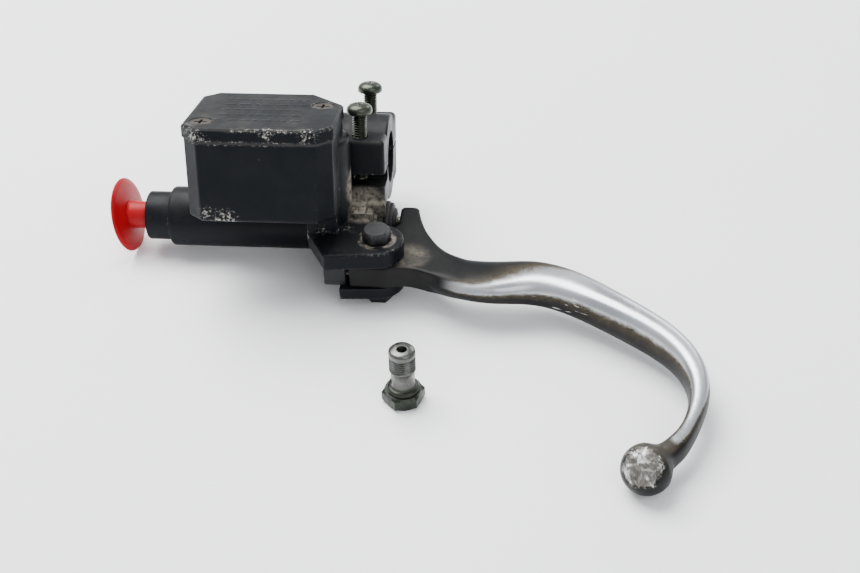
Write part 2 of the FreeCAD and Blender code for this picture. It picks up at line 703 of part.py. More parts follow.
def lever_root():
    """The flat root round the pivot, with the horn that presses on the piston."""
    face, top, radius = size("horn_face"), size("horn_top"), size("lever_root_radius")
    outer = Part.BSplineCurve()
    outer.interpolate(Points=[Vector(14.5, top - 3, 0), Vector(17.4, 19.6, 0),
                              Vector(23.2, 8.5, 0), Vector(34, 0.6, 0)])
    front = Part.BSplineCurve()
    front.interpolate(Points=[Vector(34, -17.0, 0), Vector(26, -14.4, 0),
                              Vector(15.5, -9.8, 0), Vector(4, -radius, 0)])
    heel_x = -radius - 0.1
    corners = [Vector(4, -radius, 0), Vector(heel_x, -radius + 0.2, 0), Vector(heel_x, -3.5, 0),
               Vector(-9.8, 3.4, 0)]
    edges = [Part.LineSegment(a, b) for a, b in zip(corners, corners[1:])]
    edges.append(Part.Arc(Vector(-9.8, 3.4, 0), Vector(-8.0, 6.6, 0), Vector(-4.5, 9.4, 0)))
    edges.append(Part.LineSegment(Vector(-4.5, 9.4, 0), Vector(face, 21, 0)))
    edges.append(Part.LineSegment(Vector(face, 21, 0), Vector(face, top - 2, 0)))
    edges.append(Part.Arc(Vector(face, top - 2, 0), Vector(face + 0.6, top - 0.6, 0),
                          Vector(face + 2, top, 0)))
    edges.append(Part.LineSegment(Vector(face + 2, top, 0), Vector(12, top, 0)))
    edges.append(Part.Arc(Vector(12, top, 0), Vector(13.9, top - 0.9, 0),
                          Vector(14.5, top - 3, 0)))
    edges += [outer, Part.LineSegment(Vector(34, 0.6, 0), Vector(34, -17.0, 0)), front]
    shapes = [edge.toShape() for edge in edges]
    outline = Part.Wire(Part.__sortEdges__(shapes))
    plate = Part.Face(outline).extrude(Vector(0, 0, size("lever_thickness")))
    plate.translate(Vector(0, 0, size("lever_base")))
    return plate


def make_lever():
    """The forged lever: root, blade and ball end with one face ground off, about its pivot."""
    ball_z = size("rest_z") + size("ball_radius")
    ball = Part.makeSphere(size("ball_radius"), Vector(*BALL_PLACE, ball_z))
    worn_normal = Vector(-0.35, -0.62, 0.70).normalize()
    plane_point = Vector(*BALL_PLACE, ball_z) + worn_normal * (size("ball_radius") - 1.3)
    worn = Part.makeCylinder(12, 6, plane_point, worn_normal)
    hole = Part.makeCylinder(size("bush_radius"), 40, Vector(0, 0, -40))
    forging = lever_root().fuse([lever_blade(), ball]).cut([worn, hole])
    lever = doc.addObject("Part::Feature", "lever")
    lever.Shape = forging.removeSplitter()
    place(lever, ("pivot_x", "pivot_y", "0"))
    keep(lever, "brake_lever")


def make_pivot():
    """The bush in the lever, the shoulder bolt through the ears and its nut."""
    pivot = ("pivot_x", "pivot_y")
    sleeve = cylinder("bush_outer", (*pivot, "lever_base"), "bush_radius - 0.02", "lever_thickness")
    hole = cylinder("bush_hole", (*pivot, -40), "pivot_shoulder_radius + running_gap", 40)
    keep(cut("bush", sleeve, [hole]), "pivot_bush")
    seat = "upper_ear_base + upper_ear_thickness"
    shank = cylinder("bolt_thread", (*pivot, "rest_z + 0.3"), "pivot_bolt_radius",
                     f"{seat} - rest_z - 2")
    shoulder = cylinder("bolt_shoulder", (*pivot, "lower_ear_base + lower_ear_thickness + 0.02"),
                        "pivot_shoulder_radius",
                        f"{seat} - lower_ear_base - lower_ear_thickness + 1")
    head = hexagon("bolt_head", (*pivot, seat), "pivot_head_across", "pivot_head_height")
    crown = cone("bolt_crown", (*pivot, f"{seat} - 4"), 11.2, 4.0, 9.2)
    crowned = doc.addObject("Part::Common", "bolt_head_crowned")
    crowned.Base = head
    crowned.Tool = crown
    keep(fuse("pivot_bolt_whole", [shank, shoulder, crowned]), "pivot_bolt")
    nut = hexagon("nut_outer", (*pivot, "rest_z"), "pivot_head_across", "lower_ear_base - rest_z")
    bore = cylinder("nut_bore", (*pivot, -40), "pivot_bolt_radius + 0.02", 40)
    keep(cut("nut", nut, [bore]), "pivot_nut")


# ---------------------------------------------------------------- piston and its seals


def make_piston_set():
    """Everything in the bore, from the spring at its blind end to the boot at its mouth."""
    land = "bore_radius - 0.05"
    keep(turned("piston_turning", (-31.0, *BORE), [
        (4.4, 2.4), (4.0, land), (14.4, 4.2), (3.0, land), (2.6, 4.6), (1.75, land),
        (12.85, 4.4), (3.1, 3.6), (1.25, 2.2)]), "piston")
    keep(ring_on_bore("primary_cup", -29.85, 3.2, 6.9, 2.45), "primary_cup")
    keep(ring_on_bore("secondary_cup", -5.15, 2.5, 6.9, 4.65), "secondary_cup")
    keep(ring_on_bore("spring_seat", -30.95, 1.0, 5.8, 2.45), "spring_seat")
    keep(ring_on_bore("piston_washer", -0.75, 1.15, 8.5, 4.6), "piston_washer")
    clip = ring_on_bore("circlip_ring", 0.5, 1.3, 9.2, 7.0)
    opening = box("circlip_opening", (0, "bore_y - 2", "bore_z - 12"), 3, 4, 8)
    keep(cut("circlip_cut", clip, [opening]), "circlip")
    make_spring()
    make_boot()


def ring_on_bore(name, start, length, outer, inner):
    """A plain ring on the bore's axis."""
    ring = cylinder(name + "_outer", (start, *BORE), outer, length, "+X")
    hole = cylinder(name + "_inner", (start - 5, *BORE), inner, length + 10, "+X")
    return cut(name + "_ring", ring, [hole])


def make_spring():
    """The return spring: a round wire wound between the blind end and the piston."""
    wire_radius, coil_radius, turns = 0.6, 5.0, 8
    start, end = size("bore_end") + 0.7, -31.7
    helix = Part.makeHelix((end - start) / turns, end - start, coil_radius)
    ring = Part.Circle(Vector(coil_radius, 0, 0), Vector(0, 1, 0), wire_radius).toShape()
    coil = Part.Wire(helix.Edges).makePipeShell([Part.Wire(ring)], True, True)
    spring = doc.addObject("Part::Feature", "spring")
    spring.Shape = coil
    place(spring, (start, *BORE), TURN_TO["+X"])
    keep(spring, "return_spring")


def make_boot():
    """The dust boot: a stepped rubber sleeve from the mouth of the bore to the piston's neck."""
    sleeve = turned("boot_sleeve", (2.2, *BORE), [
        (5.05, "mouth_bore_radius - 0.05"), (2.0, 8.8), (0.8, 8.1), (1.7, 8.7), (0.9, 7.9),
        (0.9, 8.1), (1.1, 5.9)])
    bore = cylinder("boot_bore", (0, *BORE), 4.5, 12.2, "+X")
    lip = cylinder("boot_lip", (0, *BORE), 3.7, 20, "+X")
    keep(cut("boot_cut", sleeve, [bore, lip]), "dust_boot")


# ---------------------------------------------------------------- brake light switch


def make_switch():
    """The brake light switch under the upper ear: case, plunger, two blades and a screw."""
    corner = ("switch_left", "switch_front", "switch_base")
    case = box("switch_box", corner, "switch_length", "switch_depth", "switch_height")
    case = fillet("switch_rounded", case, 0.9, lambda edge: edge.BoundBox.XLength < 0.01)
    axis = ("switch_front + 2", "switch_base + 5")
    bore = cylinder("plunger_bore", ("switch_left + switch_length - 5", *axis),
                    "plunger_radius + running_gap", 8, "+X")
    hole = cylinder("switch_hole", (*SWITCH_SCREW, -30), 1.7, 20)
    blade_places = (12.4, 14.4)
    blades = [box(f"switch_blade_{i}",
                  ("switch_left - 3.6", f"switch_front + {y}", "switch_base + 5.4"), 6.0, 0.8, 3.6)
              for i, y in enumerate(blade_places)]
    slots = [box(f"switch_blade_slot_{i}",
                 ("switch_left - 1", f"switch_front + {y - 0.05}", "switch_base + 5.35"),
                 3.45, 0.9, 3.7)
             for i, y in enumerate(blade_places)]
    keep(cut("switch_case_cut", case, [bore, hole] + slots), "switch_case")
    keep(compound("switch_blades", blades), "switch_terminals")
    keep(cylinder("plunger", ("switch_left + switch_length - 3.8", *axis), "plunger_radius", 5.25,
                  "+X"), "switch_plunger")
    head = cylinder("switch_screw_head", (*SWITCH_SCREW, "switch_base - 2.1"), 2.8, 2.08)
    shank = cylinder("switch_screw_shank", (*SWITCH_SCREW, "switch_base - 1"), 1.5, 14)
    slot = box("switch_screw_slot", ("switch_left + 0.6", "switch_front + 7.1", "switch_base - 3"),
               6.0, 0.8, 1.9)
    keep(cut("switch_screw_cut", fuse("switch_screw_blank", [head, shank]), [slot]), "switch_screw")


# ---------------------------------------------------------------- transit plug, banjo bolt


def make_plug():
    """The plastic plug in the outlet port: a spigot, a stem and a wide disc that sits askew."""
    spigot = cylinder("plug_spigot", ("port_face - 1", *BORE), "plug_spigot_radius",
                      "plug_spigot_length + 1", "+X")
    stem = cylinder("plug_stem", ("port_face - plug_stem_length - 1", *BORE), "plug_stem_radius",
                    "plug_stem_length + 0.95", "+X")
    at = ("port_face - plug_stem_length - 2", *BORE)
    disc = cone("plug_disc", at, "plug_disc_radius - 2", "plug_disc_radius", "plug_disc_thickness")
    askew = Rotation(Vector(0, 0, 1), -3) * Rotation(Vector(0, 1, 0), -11)
    place(disc, at, askew * TURN_TO["+X"])
    keep(fuse("plug_whole", [spigot, stem, disc]), "transit_plug")


def make_banjo_bolt():
    """The hose's hollow bolt, standing on its head beside the lever."""
    at = ("banjo_x", "banjo_y")
    head = hexagon("banjo_hex", (*at, "rest_z"), "banjo_across", "banjo_head")
    head.Placement.Rotation = Rotation(Vector(0, 0, 1), 12)
    bevel = cone("banjo_bevel", (*at, "rest_z - 1"), 7.4, 14.4, 7.0)
    crowned = doc.addObject("Part::Common", "banjo_head_crowned")
    crowned.Base = head
    crowned.Tool = bevel
    above = "rest_z + banjo_head"
    collar = cylinder("banjo_collar", (*at, above + " - 0.2"), 5.9, 1.7)
    collar = fillet("banjo_collar_rounded", collar, 0.5, lambda edge: True)
    shank = cylinder("banjo_shank", (*at, above), "banjo_thread_radius - 0.35", 16)
    thread_length = 9.2
    pitch = 1.0
    tip = "rest_z + banjo_length"
    thread = cylinder("banjo_thread", (*at, f"{tip} - {thread_length}"), "banjo_thread_radius",
                      thread_length)
    thread = fillet("banjo_thread_rounded", thread, 0.6,
                    lambda edge: edge.BoundBox.ZMin > size("rest_z") + size("banjo_length") - 0.1)
    grooves = [thread_groove(f"banjo_groove_{i}", at, f"{tip} - {2.0 + pitch * i}")
               for i in range(7)]
    drilling = cylinder("banjo_drilling", (*at, above + " + 2"), 2.0, 30)
    cross = cylinder("banjo_cross_drilling", ("banjo_x - 10", "banjo_y", above + " + 4.8"), 1.4,
                     20, "+X")
    blank = fuse("banjo_blank", [crowned, collar, shank, thread])
    keep(cut("banjo", blank, grooves + [drilling, cross]), "banjo_bolt")


def thread_groove(name, at, height):
    """A ring of V section that cuts one thread root."""
    ring = doc.addObject("Part::Torus", name)
    bind(ring, {"Radius1": "banjo_thread_radius + 0.15", "Radius2": 0.42})
    return place(ring, (*at, height))


# ---------------------------------------------------------------- build, check and write


def check(thing):
    """Stop unless an object recomputed cleanly into one or more valid solids."""
    bad = [state for state in thing.State if state in ("Invalid", "Error")]
    if bad or thing.Shape.isNull() or not thing.Shape.isValid() or not thing.Shape.Solids:
        raise RuntimeError(f"{thing.Label}: {thing.State}")


make_casting()
make_lid()
make_lid_screws()
make_diaphragm()
make_reservoir_fittings()
make_clamp_cap()
make_clamp_screws()
make_lever()
make_pivot()
make_piston_set()
make_switch()
make_plug()
make_banjo_bolt()
doc.recompute()
for item in doc.Objects:
    if "Invalid" in item.State or "Error" in item.State:
        raise RuntimeError(f"{item.Name}: {item.State}")
os.makedirs("parts", exist_ok=True)
for item in PARTS:
    check(item)
    item.Shape.exportStep(f"parts/{item.Label}.step")
    print(f"{item.Label:22s} solids {len(item.Shape.Solids)}  volume {item.Shape.Volume:10.1f}")
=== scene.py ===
"""The looks of the motorcycle brake master cylinder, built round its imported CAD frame.

Every length is in metres, in the frame of the CAD: +X along the bore towards the lever, +Z up.
"""
import json
import math
from random import Random

import bmesh
import bpy
from mathutils import Matrix, Vector, noise


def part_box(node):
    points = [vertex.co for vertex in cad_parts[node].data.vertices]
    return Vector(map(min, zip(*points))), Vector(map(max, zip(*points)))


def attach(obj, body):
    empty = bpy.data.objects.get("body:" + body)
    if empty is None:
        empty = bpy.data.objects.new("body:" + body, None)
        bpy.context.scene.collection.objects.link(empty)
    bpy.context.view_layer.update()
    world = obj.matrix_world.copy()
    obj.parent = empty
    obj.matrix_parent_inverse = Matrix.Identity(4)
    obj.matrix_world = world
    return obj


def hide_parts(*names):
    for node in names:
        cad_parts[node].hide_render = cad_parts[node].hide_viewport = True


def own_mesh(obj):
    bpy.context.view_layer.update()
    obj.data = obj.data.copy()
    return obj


MM = 0.001  # one millimetre, in metres
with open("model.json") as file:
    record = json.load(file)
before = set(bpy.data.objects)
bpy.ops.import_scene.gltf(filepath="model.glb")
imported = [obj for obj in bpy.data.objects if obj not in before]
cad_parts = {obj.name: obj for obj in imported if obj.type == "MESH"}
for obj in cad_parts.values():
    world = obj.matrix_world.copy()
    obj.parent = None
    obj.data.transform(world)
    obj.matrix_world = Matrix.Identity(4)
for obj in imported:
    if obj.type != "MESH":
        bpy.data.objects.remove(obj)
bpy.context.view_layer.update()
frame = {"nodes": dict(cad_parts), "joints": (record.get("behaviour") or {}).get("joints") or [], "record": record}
nodes = frame["nodes"]
JOINTS = {joint["name"]: joint for joint in frame["joints"]}


# ---------------------------------------------------------------- places read from the frame


def middle(node):
    low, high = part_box(node)
    return (low + high) / 2


def lean_angle():
    """How far the reservoir and the clamp lean back, from the clamp cap's direction of lift."""
    lift = Vector(JOINTS["cap_lift"]["axis"])
    return math.atan2(lift.y, lift.z)


LEAN = Matrix.Rotation(-lean_angle(), 4, "X")
PIVOT = Vector(JOINTS["lever_pivot"]["pos_m"])
FLOOR_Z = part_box("banjo_bolt")[0].z
BORE = middle("piston")
PORT_FACE_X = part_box("master_cylinder_body")[0].x

# The ball on the lever's end, and the direction that its ground face looks in.
BALL_RADIUS = 9.05 * MM
BALL = Vector((PIVOT.x + 101.6 * MM, PIVOT.y - 101.9 * MM, FLOOR_Z + BALL_RADIUS))
ABRADED = Vector((-0.35, -0.62, 0.70)).normalized()
TOWARD_NECK = Vector((0.756, 0.654, 0.0))

# Where dust gathers: between the clamp and the reservoir, on the bulge, round the pivot's head.
SADDLE = Vector((2.0, -30.5, -8.5)) * MM
BULGE_SIDE = Vector((-2.2, -30.0, 5.0)) * MM
PIVOT_TOP = Vector((PIVOT.x, PIVOT.y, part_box("pivot_bolt")[1].z - 5 * MM))


# ---------------------------------------------------------------- material graphs


class Graph:
    """A small builder of node materials. Positions are read from the row frame, in metres."""

    def __init__(self, name):
        self.material = bpy.data.materials.new(name)
        self.material.use_nodes = True
        self.tree = self.material.node_tree
        self.tree.nodes.clear()
        self.shader = self.tree.nodes.new("ShaderNodeBsdfPrincipled")
        output = self.tree.nodes.new("ShaderNodeOutputMaterial")
        self.tree.links.new(self.shader.outputs[0], output.inputs[0])
        self.place = self.tree.nodes.new("ShaderNodeTexCoord").outputs["Object"]
        geometry = self.tree.nodes.new("ShaderNodeNewGeometry")
        self.normal = geometry.outputs["Normal"]
        self.pointiness = geometry.outputs["Pointiness"]

    def join(self, value, socket):
        if isinstance(value, bpy.types.NodeSocket):
            self.tree.links.new(value, socket)
        elif isinstance(value, (tuple, list)) and len(value) == 3 and socket.type == "RGBA":
            socket.default_value = (*value, 1.0)
        else:
            socket.default_value = value

    def node(self, kind, inputs, output=0, **settings):
        made = self.tree.nodes.new("ShaderNode" + kind)
        for name, value in settings.items():
            setattr(made, name, value)
        for key, value in inputs.items():
            self.join(value, made.inputs[key])
        return made.outputs[output]

    def maths(self, operation, first, second=0.0, third=0.0, clamp=False):
        return self.node("Math", {0: first, 1: second, 2: third}, operation=operation,
                         use_clamp=clamp)

    def noise(self, per_metre, detail=4.0, roughness=0.55, distortion=0.0, stretch=None):
        where = self.place
        if stretch:
            where = self.node("Mapping", {"Vector": where, "Scale": stretch})
        return self.node("TexNoise", {"Vector": where, "Scale": per_metre, "Detail": detail,
                                      "Roughness": roughness, "Distortion": distortion})

    def band(self, value, low, high):
        """0 below low, 1 above high, smooth between; low may be the larger for a falling band."""
        return self.node("MapRange", {"Value": value, "From Min": low, "From Max": high},
                         interpolation_type="SMOOTHSTEP", clamp=True)

    def axis(self, vector, letter):
        return self.node("SeparateXYZ", {0: vector}, output="XYZ".index(letter))

    def dot(self, vector, direction):
        return self.node("VectorMath", {0: vector, 1: direction}, output="Value",
                         operation="DOT_PRODUCT")

    def distance(self, point):
        return self.node("VectorMath", {0: self.place, 1: point}, output="Value",
                         operation="DISTANCE")

    def mix(self, factor, first, second):
        return self.node("MixRGB", {0: factor, 1: first, 2: second})

    def blend(self, factor, first, second):
        """A number that goes from first to second with the factor."""
        return self.maths("MULTIPLY_ADD", factor, self.maths("SUBTRACT", second, first), first)

    def edges(self, radius, low=0.02, high=0.25):
        """1 along sharp outer and inner edges, found by comparing rounded and true normals."""
        rounded = self.node("Bevel", {"Radius": radius})
        sameness = self.dot(rounded, self.normal)
        return self.band(self.maths("SUBTRACT", 1.0, sameness), low, high)

    def bump(self, height, strength, depth, after=None):
        inputs = {"Height": height, "Strength": strength, "Distance": depth}
        if after is not None:
            inputs["Normal"] = after
        return self.node("Bump", inputs)

    def soft_edges(self, radius):
        return self.node("Bevel", {"Radius": radius})

    def finish(self, **inputs):
        for name, value in inputs.items():
            self.join(value, self.shader.inputs[name.replace("_", " ")])
        return self.material


def cast_paint(name, dust_amount=0.5, chip_amount=0.5, bare_places=()):
    """Satin black paint on cast aluminium: orange peel, road dust on top, chipped edges.

    Each of bare_places, a point and a radius, is scratched through to the metal.
    """
    g = Graph(name)
    peel = g.noise(700, 3.0)
    broad = g.noise(45, 5.0, 0.6)
    mottle = g.noise(420, 6.0, 0.7)
    base = g.mix(g.band(broad, 0.35, 0.7), (0.0022, 0.0032, 0.0050), (0.0055, 0.0066, 0.0085))
    dust = road_dust(g, mottle, dust_amount)
    dusty = g.mix(dust, base, g.mix(mottle, (0.090, 0.080, 0.064), (0.30, 0.27, 0.22)))
    chips = paint_chips(g, broad, chip_amount, bare_places)
    rub = g.maths("MULTIPLY", g.edges(1.0 * MM, 0.01, 0.30), g.blend(mottle, 0.1, 0.5))
    rubbed = g.mix(rub, dusty, (0.075, 0.078, 0.082))
    colour = g.mix(chips, rubbed, g.mix(mottle, (0.20, 0.18, 0.15), (0.50, 0.49, 0.46)))
    rough = g.blend(g.band(g.noise(90, 5.0, 0.6), 0.35, 0.65), 0.36, 0.50)
    rough = g.blend(dust, rough, 0.9)
    height = g.maths("ADD", g.maths("MULTIPLY", peel, 0.6), g.maths("MULTIPLY", mottle, 0.5))
    height = g.maths("SUBTRACT", height, g.maths("MULTIPLY", chips, 1.2))
    normal = g.bump(height, 0.45, 0.06 * MM, g.soft_edges(0.35 * MM))
    return g.finish(Base_Color=colour, Roughness=rough, Metallic=g.maths("MULTIPLY", chips, 0.7),
                    Normal=normal, Specular_IOR_Level=0.09)


def paint_chips(g, broad, amount, bare_places):
    """1 where the metal shows: in clusters along edges, at the bare places, and in stray specks."""
    wear = g.edges(1.3 * MM, 0.008, 0.10)
    grains = g.noise(900, 7.0, 0.75)
    specks = g.band(grains, 0.60 - 0.12 * amount, 0.68 - 0.12 * amount)
    clusters = g.band(g.noise(70, 3.0, 0.6), 0.48 - 0.08 * amount, 0.62)
    chips = g.maths("MULTIPLY", wear, g.maths("MULTIPLY", specks, clusters))
    for point, radius in bare_places:
        near = g.band(g.distance(tuple(point)), radius, 0.25 * radius)
        spotted = g.band(g.maths("MULTIPLY_ADD", near, 0.10, grains), 0.60, 0.70)
        chips = g.maths("MAXIMUM", chips, g.maths("MULTIPLY", near, spotted))
    stray = g.maths("MULTIPLY", g.band(g.noise(650, 2.0), 0.765, 0.80), g.band(broad, 0.45, 0.6))
    return g.maths("MAXIMUM", chips, g.maths("MULTIPLY", stray, 0.8))


def road_dust(g, mottle, amount):
    """Dust that lies on what faces up, thick in the saddle by the clamp and round the pivot."""
    upward = g.band(g.axis(g.normal, "Z"), 0.10, 0.95)
    patches = g.band(g.noise(110, 8.0, 0.7), 0.66 - 0.3 * amount, 0.98 - 0.2 * amount)
    film = g.band(g.noise(30, 6.0, 0.65), 0.3, 0.75)
    film = g.maths("MULTIPLY", film, g.blend(mottle, 0.15, 0.7))
    dust = g.maths("MULTIPLY", upward, g.blend(patches, g.maths("MULTIPLY", film, 0.4), 0.9))
    dust = g.maths("MULTIPLY", dust, 0.22 + 0.35 * amount)
    saddle = g.band(g.distance(tuple(SADDLE)), 13 * MM, 7 * MM)
    bulge = g.band(g.distance(tuple(BULGE_SIDE)), 9.5 * MM, 6 * MM)
    bulge = g.maths("MULTIPLY", bulge, g.band(g.axis(g.normal, "X"), 0.45, 0.80))
    ring = g.maths("SUBTRACT", g.distance(tuple(PIVOT_TOP)), 6.7 * MM)
    ring = g.band(g.maths("ABSOLUTE", ring), 1.5 * MM, 0.4 * MM)
    ring = g.maths("MULTIPLY", ring, g.band(g.noise(160, 4.0), 0.38, 0.55))
    lying = g.maths("MULTIPLY", g.maths("MAXIMUM", saddle, ring),
                    g.band(g.axis(g.normal, "Z"), -0.45, 0.25))
    heavy = g.maths("MULTIPLY", g.maths("MAXIMUM", lying, bulge),
                    g.blend(g.band(mottle, 0.36, 0.56), 0.3, 1.0))
    return g.maths("MAXIMUM", dust, heavy, clamp=True)


def lever_metal():
    """Dark anodised root, worn through to polished aluminium along the crest of the blade, with a brown band that
    is partly worn-thin anodising and partly a painted highlight.
    """
    g = Graph("lever_anodised_and_polished")
    up = g.axis(g.normal, "Z")
    ragged = g.maths("SUBTRACT", g.noise(130, 7.0, 0.7), 0.5)
    grit = g.maths("SUBTRACT", g.noise(2600, 4.0, 0.8), 0.5)
    bare, thin = lever_wear(g, up, ragged, grit)
    black = g.mix(g.band(g.noise(60, 5.0), 0.35, 0.7), (0.0030, 0.0030, 0.0032),
                  (0.009, 0.0088, 0.0088))
    # Painted highlight: the brown band just short of the bare metal, partly worn-thin anodising.
    brown_highlight = g.maths("MULTIPLY", thin, g.blend(g.band(grit, -0.12, 0.14), 0.25, 1.0))
    worn = g.mix(brown_highlight, black, (0.092, 0.072, 0.040))
    cloud = g.band(g.noise(28, 4.0, 0.5), 0.3, 0.7)
    silver = g.mix(cloud, (0.36, 0.375, 0.40), (0.50, 0.51, 0.53))
    colour = g.mix(bare, worn, silver)
    lines = g.noise(190, 4.0, 0.6, 0.0, stretch=(0.6, 1.0, 14.0))
    satin = g.blend(g.band(g.maths("ADD", lines, cloud), 0.6, 1.4), 0.24, 0.33)
    rough = g.blend(bare, 0.40, satin)
    colour, rough = scrape(g, colour, rough)
    colour, rough, metal = abraded_ball(g, colour, rough, bare)
    pivot_side = g.distance(tuple(PIVOT + Vector((13 * MM, -1 * MM, 5 * MM))))
    dust = g.maths("MULTIPLY", g.band(pivot_side, 10 * MM, 4 * MM), g.band(up, 0.3, 0.9))
    dust = g.maths("MULTIPLY", dust, g.blend(g.band(ragged, -0.08, 0.1), 0.25, 0.8))
    colour = g.mix(dust, colour, (0.125, 0.11, 0.088))
    height = g.maths("MULTIPLY_ADD", g.noise(1400, 3.0), 0.4, g.maths("MULTIPLY", lines, 0.25))
    normal = g.bump(height, 0.10, 0.03 * MM, g.soft_edges(0.3 * MM))
    return g.finish(Base_Color=colour, Roughness=g.blend(dust, rough, 0.9), Metallic=metal,
                    Normal=normal, Specular_IOR_Level=0.12)


def lever_wear(g, up, ragged, grit):
    """Where the blade is worn bare, on what faces up and forward, and where it is worn thin, a band that also
    carries a painted brown highlight.
    """
    along = g.maths("SUBTRACT", g.axis(g.place, "X"), PIVOT.x)
    front = g.maths("MULTIPLY", g.axis(g.normal, "Y"), -1.0)
    reach = g.maths("MULTIPLY_ADD", front, 58 * MM, along)
    reach = g.maths("MULTIPLY_ADD", ragged, 14 * MM, reach)
    reach = g.maths("MULTIPLY_ADD", grit, 22 * MM, reach)
    near_ball = g.distance(tuple(BALL))
    blade = g.band(along, 25 * MM, 38 * MM)
    needed = g.blend(g.band(near_ball, 58 * MM, 13 * MM), 0.22, 0.97)
    facing = g.maths("MULTIPLY_ADD", ragged, 0.35, g.maths("SUBTRACT", up, needed))
    facing = g.maths("MULTIPLY_ADD", grit, 0.40, facing)
    bare = g.maths("MULTIPLY", g.band(reach, 56 * MM, 75 * MM), g.band(facing, -0.10, 0.14))
    bare = g.maths("MULTIPLY", bare, g.band(near_ball, 12.2 * MM, 14.5 * MM))
    bare = g.maths("MULTIPLY", bare, blade)
    # This band short of the bare metal is both worn-thin anodising and a painted brown highlight.
    thin = g.maths("MULTIPLY", g.band(reach, 42 * MM, 66 * MM), g.band(facing, -0.36, 0.05))
    short_of_ball = g.band(near_ball, 11 * MM, 17 * MM)
    return bare, g.maths("MULTIPLY", thin, g.maths("MULTIPLY", blade, short_of_ball))


def scrape(g, colour, rough):
    """A few bright scratches across the dark lower face of the blade."""
    middle_of_scratches = PIVOT + Vector((72 * MM, -20 * MM, -6 * MM))
    streaks = g.noise(300, 2.0, 0.4, 0.0, stretch=(0.22, 1.0, 4.5))
    zone = g.band(g.distance(tuple(middle_of_scratches)), 15 * MM, 8 * MM)
    mark = g.maths("MULTIPLY", g.band(streaks, 0.66, 0.70), zone)
    return g.mix(mark, colour, (0.80, 0.79, 0.77)), g.blend(mark, rough, 0.45)


def abraded_ball(g, colour, rough, metal):
    """The face of the ball that has been ground off: bright, coarse and smeared; and a painted highlight on the
    ball's top.
    """
    offset = g.node("VectorMath", {0: g.place, 1: tuple(BALL)}, operation="SUBTRACT")
    out_of_ball = g.dot(offset, tuple(ABRADED))
    ragged = g.maths("SUBTRACT", g.noise(260, 6.0, 0.7), 0.5)
    face = g.band(g.maths("MULTIPLY_ADD", ragged, 8.0 * MM, out_of_ball), 5.5 * MM, 6.4 * MM)
    face = g.maths("MULTIPLY", face, g.band(g.distance(tuple(BALL)), 12.5 * MM, 10.5 * MM))
    smears = g.noise(520, 7.0, 0.8, 0.6, stretch=(1.0, 0.4, 0.6))
    streaks = g.band(g.noise(240, 5.0, 0.7, 0.5, stretch=(1.0, 0.5, 0.8)), 0.50, 0.66)
    dull = g.mix(g.band(smears, 0.3, 0.7), (0.070, 0.064, 0.056), (0.20, 0.19, 0.175))
    bright = g.mix(streaks, dull, (0.66, 0.66, 0.66))
    # Painted highlight: near the ball, what faces up is coloured a lighter brown and made more metallic.
    upward_facing = g.band(g.axis(g.normal, "Z"), 0.55, 0.95)
    near = g.band(g.distance(tuple(BALL)), 15 * MM, 11 * MM)
    painted_sheen = g.maths("MULTIPLY", near, g.maths("MULTIPLY", upward_facing, 0.18))
    colour = g.mix(painted_sheen, colour, (0.22, 0.19, 0.14))
    colour = g.mix(face, colour, bright)
    rough = g.blend(face, rough, g.blend(smears, 0.60, 0.35))
    metal = g.maths("MAXIMUM", g.maths("MULTIPLY", metal, 0.95), g.maths("MULTIPLY", face, 0.75))
    return colour, rough, g.maths("MAXIMUM", metal, painted_sheen)


def plain_metal(name, light, dark, rough=0.35, metallic=1.0, stain=(0.2, 0.16, 0.11),
                stain_amount=0.3, shaded_hollows=False):
    """Machined or plated steel with stains in patches, rubbed edges and, if asked, painted shade that darkens its
    hollows and thread roots.
    """
    g = Graph(name)
    tone = g.noise(210, 6.0, 0.65)
    colour = g.mix(g.band(tone, 0.3, 0.7), dark, light)
    patches = g.band(g.noise(130, 7.0, 0.75), 0.66 - 0.3 * stain_amount, 0.82 - 0.2 * stain_amount)
    colour = g.mix(g.maths("MULTIPLY", patches, 0.8), colour, stain)
    rub = g.maths("MULTIPLY", g.edges(0.25 * MM, 0.03, 0.3), 0.5)
    colour = g.mix(rub, colour, tuple(min(1.0, c * 1.7) for c in light))
    # Painted shade: where the pointiness is low, in hollows and thread roots, the colour falls to a fraction of
    # the dark tone.
    if shaded_hollows:
        colour = g.mix(g.band(g.pointiness, 0.50, 0.44), colour, tuple(0.15 * c for c in dark))
    grain = g.noise(1800, 3.0, 0.6)
    roughness = g.blend(patches, g.blend(grain, rough - 0.07, rough + 0.1), 0.8)
    metal = g.blend(patches, metallic, metallic * 0.35)
    normal = g.bump(g.maths("ADD", grain, patches), 0.25, 0.02 * MM, g.soft_edges(0.12 * MM))
    return g.finish(Base_Color=colour, Roughness=roughness, Metallic=metal, Normal=normal)


def rubber(name, tone=0.012):
    """Matt black rubber with a grey bloom and fine moulded grain."""
    g = Graph(name)
    bloom = g.band(g.noise(90, 6.0, 0.7), 0.45, 0.85)
    colour = g.mix(g.maths("MULTIPLY", bloom, 0.55), (tone, tone, tone * 1.05),
                   (0.075, 0.072, 0.066))
    normal = g.bump(g.noise(2600, 4.0), 0.3, 0.03 * MM)
    return g.finish(Base_Color=colour, Roughness=g.blend(bloom, 0.62, 0.85), Normal=normal,
                    Specular_IOR_Level=0.35)


def moulded_plastic(name, tone):
    """Moulded plastic with fine spark texture and a little dust on top."""
    g = Graph(name)
    dust = g.maths("MULTIPLY", g.band(g.noise(150, 7.0, 0.7), 0.5, 0.9),
                   g.band(g.axis(g.normal, "Z"), 0.1, 0.9))
    darker = tuple(c * 0.7 for c in tone)
    colour = g.mix(g.noise(70, 4.0), darker, tone)
    colour = g.mix(g.maths("MULTIPLY", dust, 0.5), colour, (0.17, 0.155, 0.13))
    normal = g.bump(g.noise(2200, 3.0), 0.3, 0.04 * MM, g.soft_edges(0.2 * MM))
    return g.finish(Base_Color=colour, Roughness=g.blend(dust, 0.48, 0.85), Normal=normal,
                    Specular_IOR_Level=0.25)


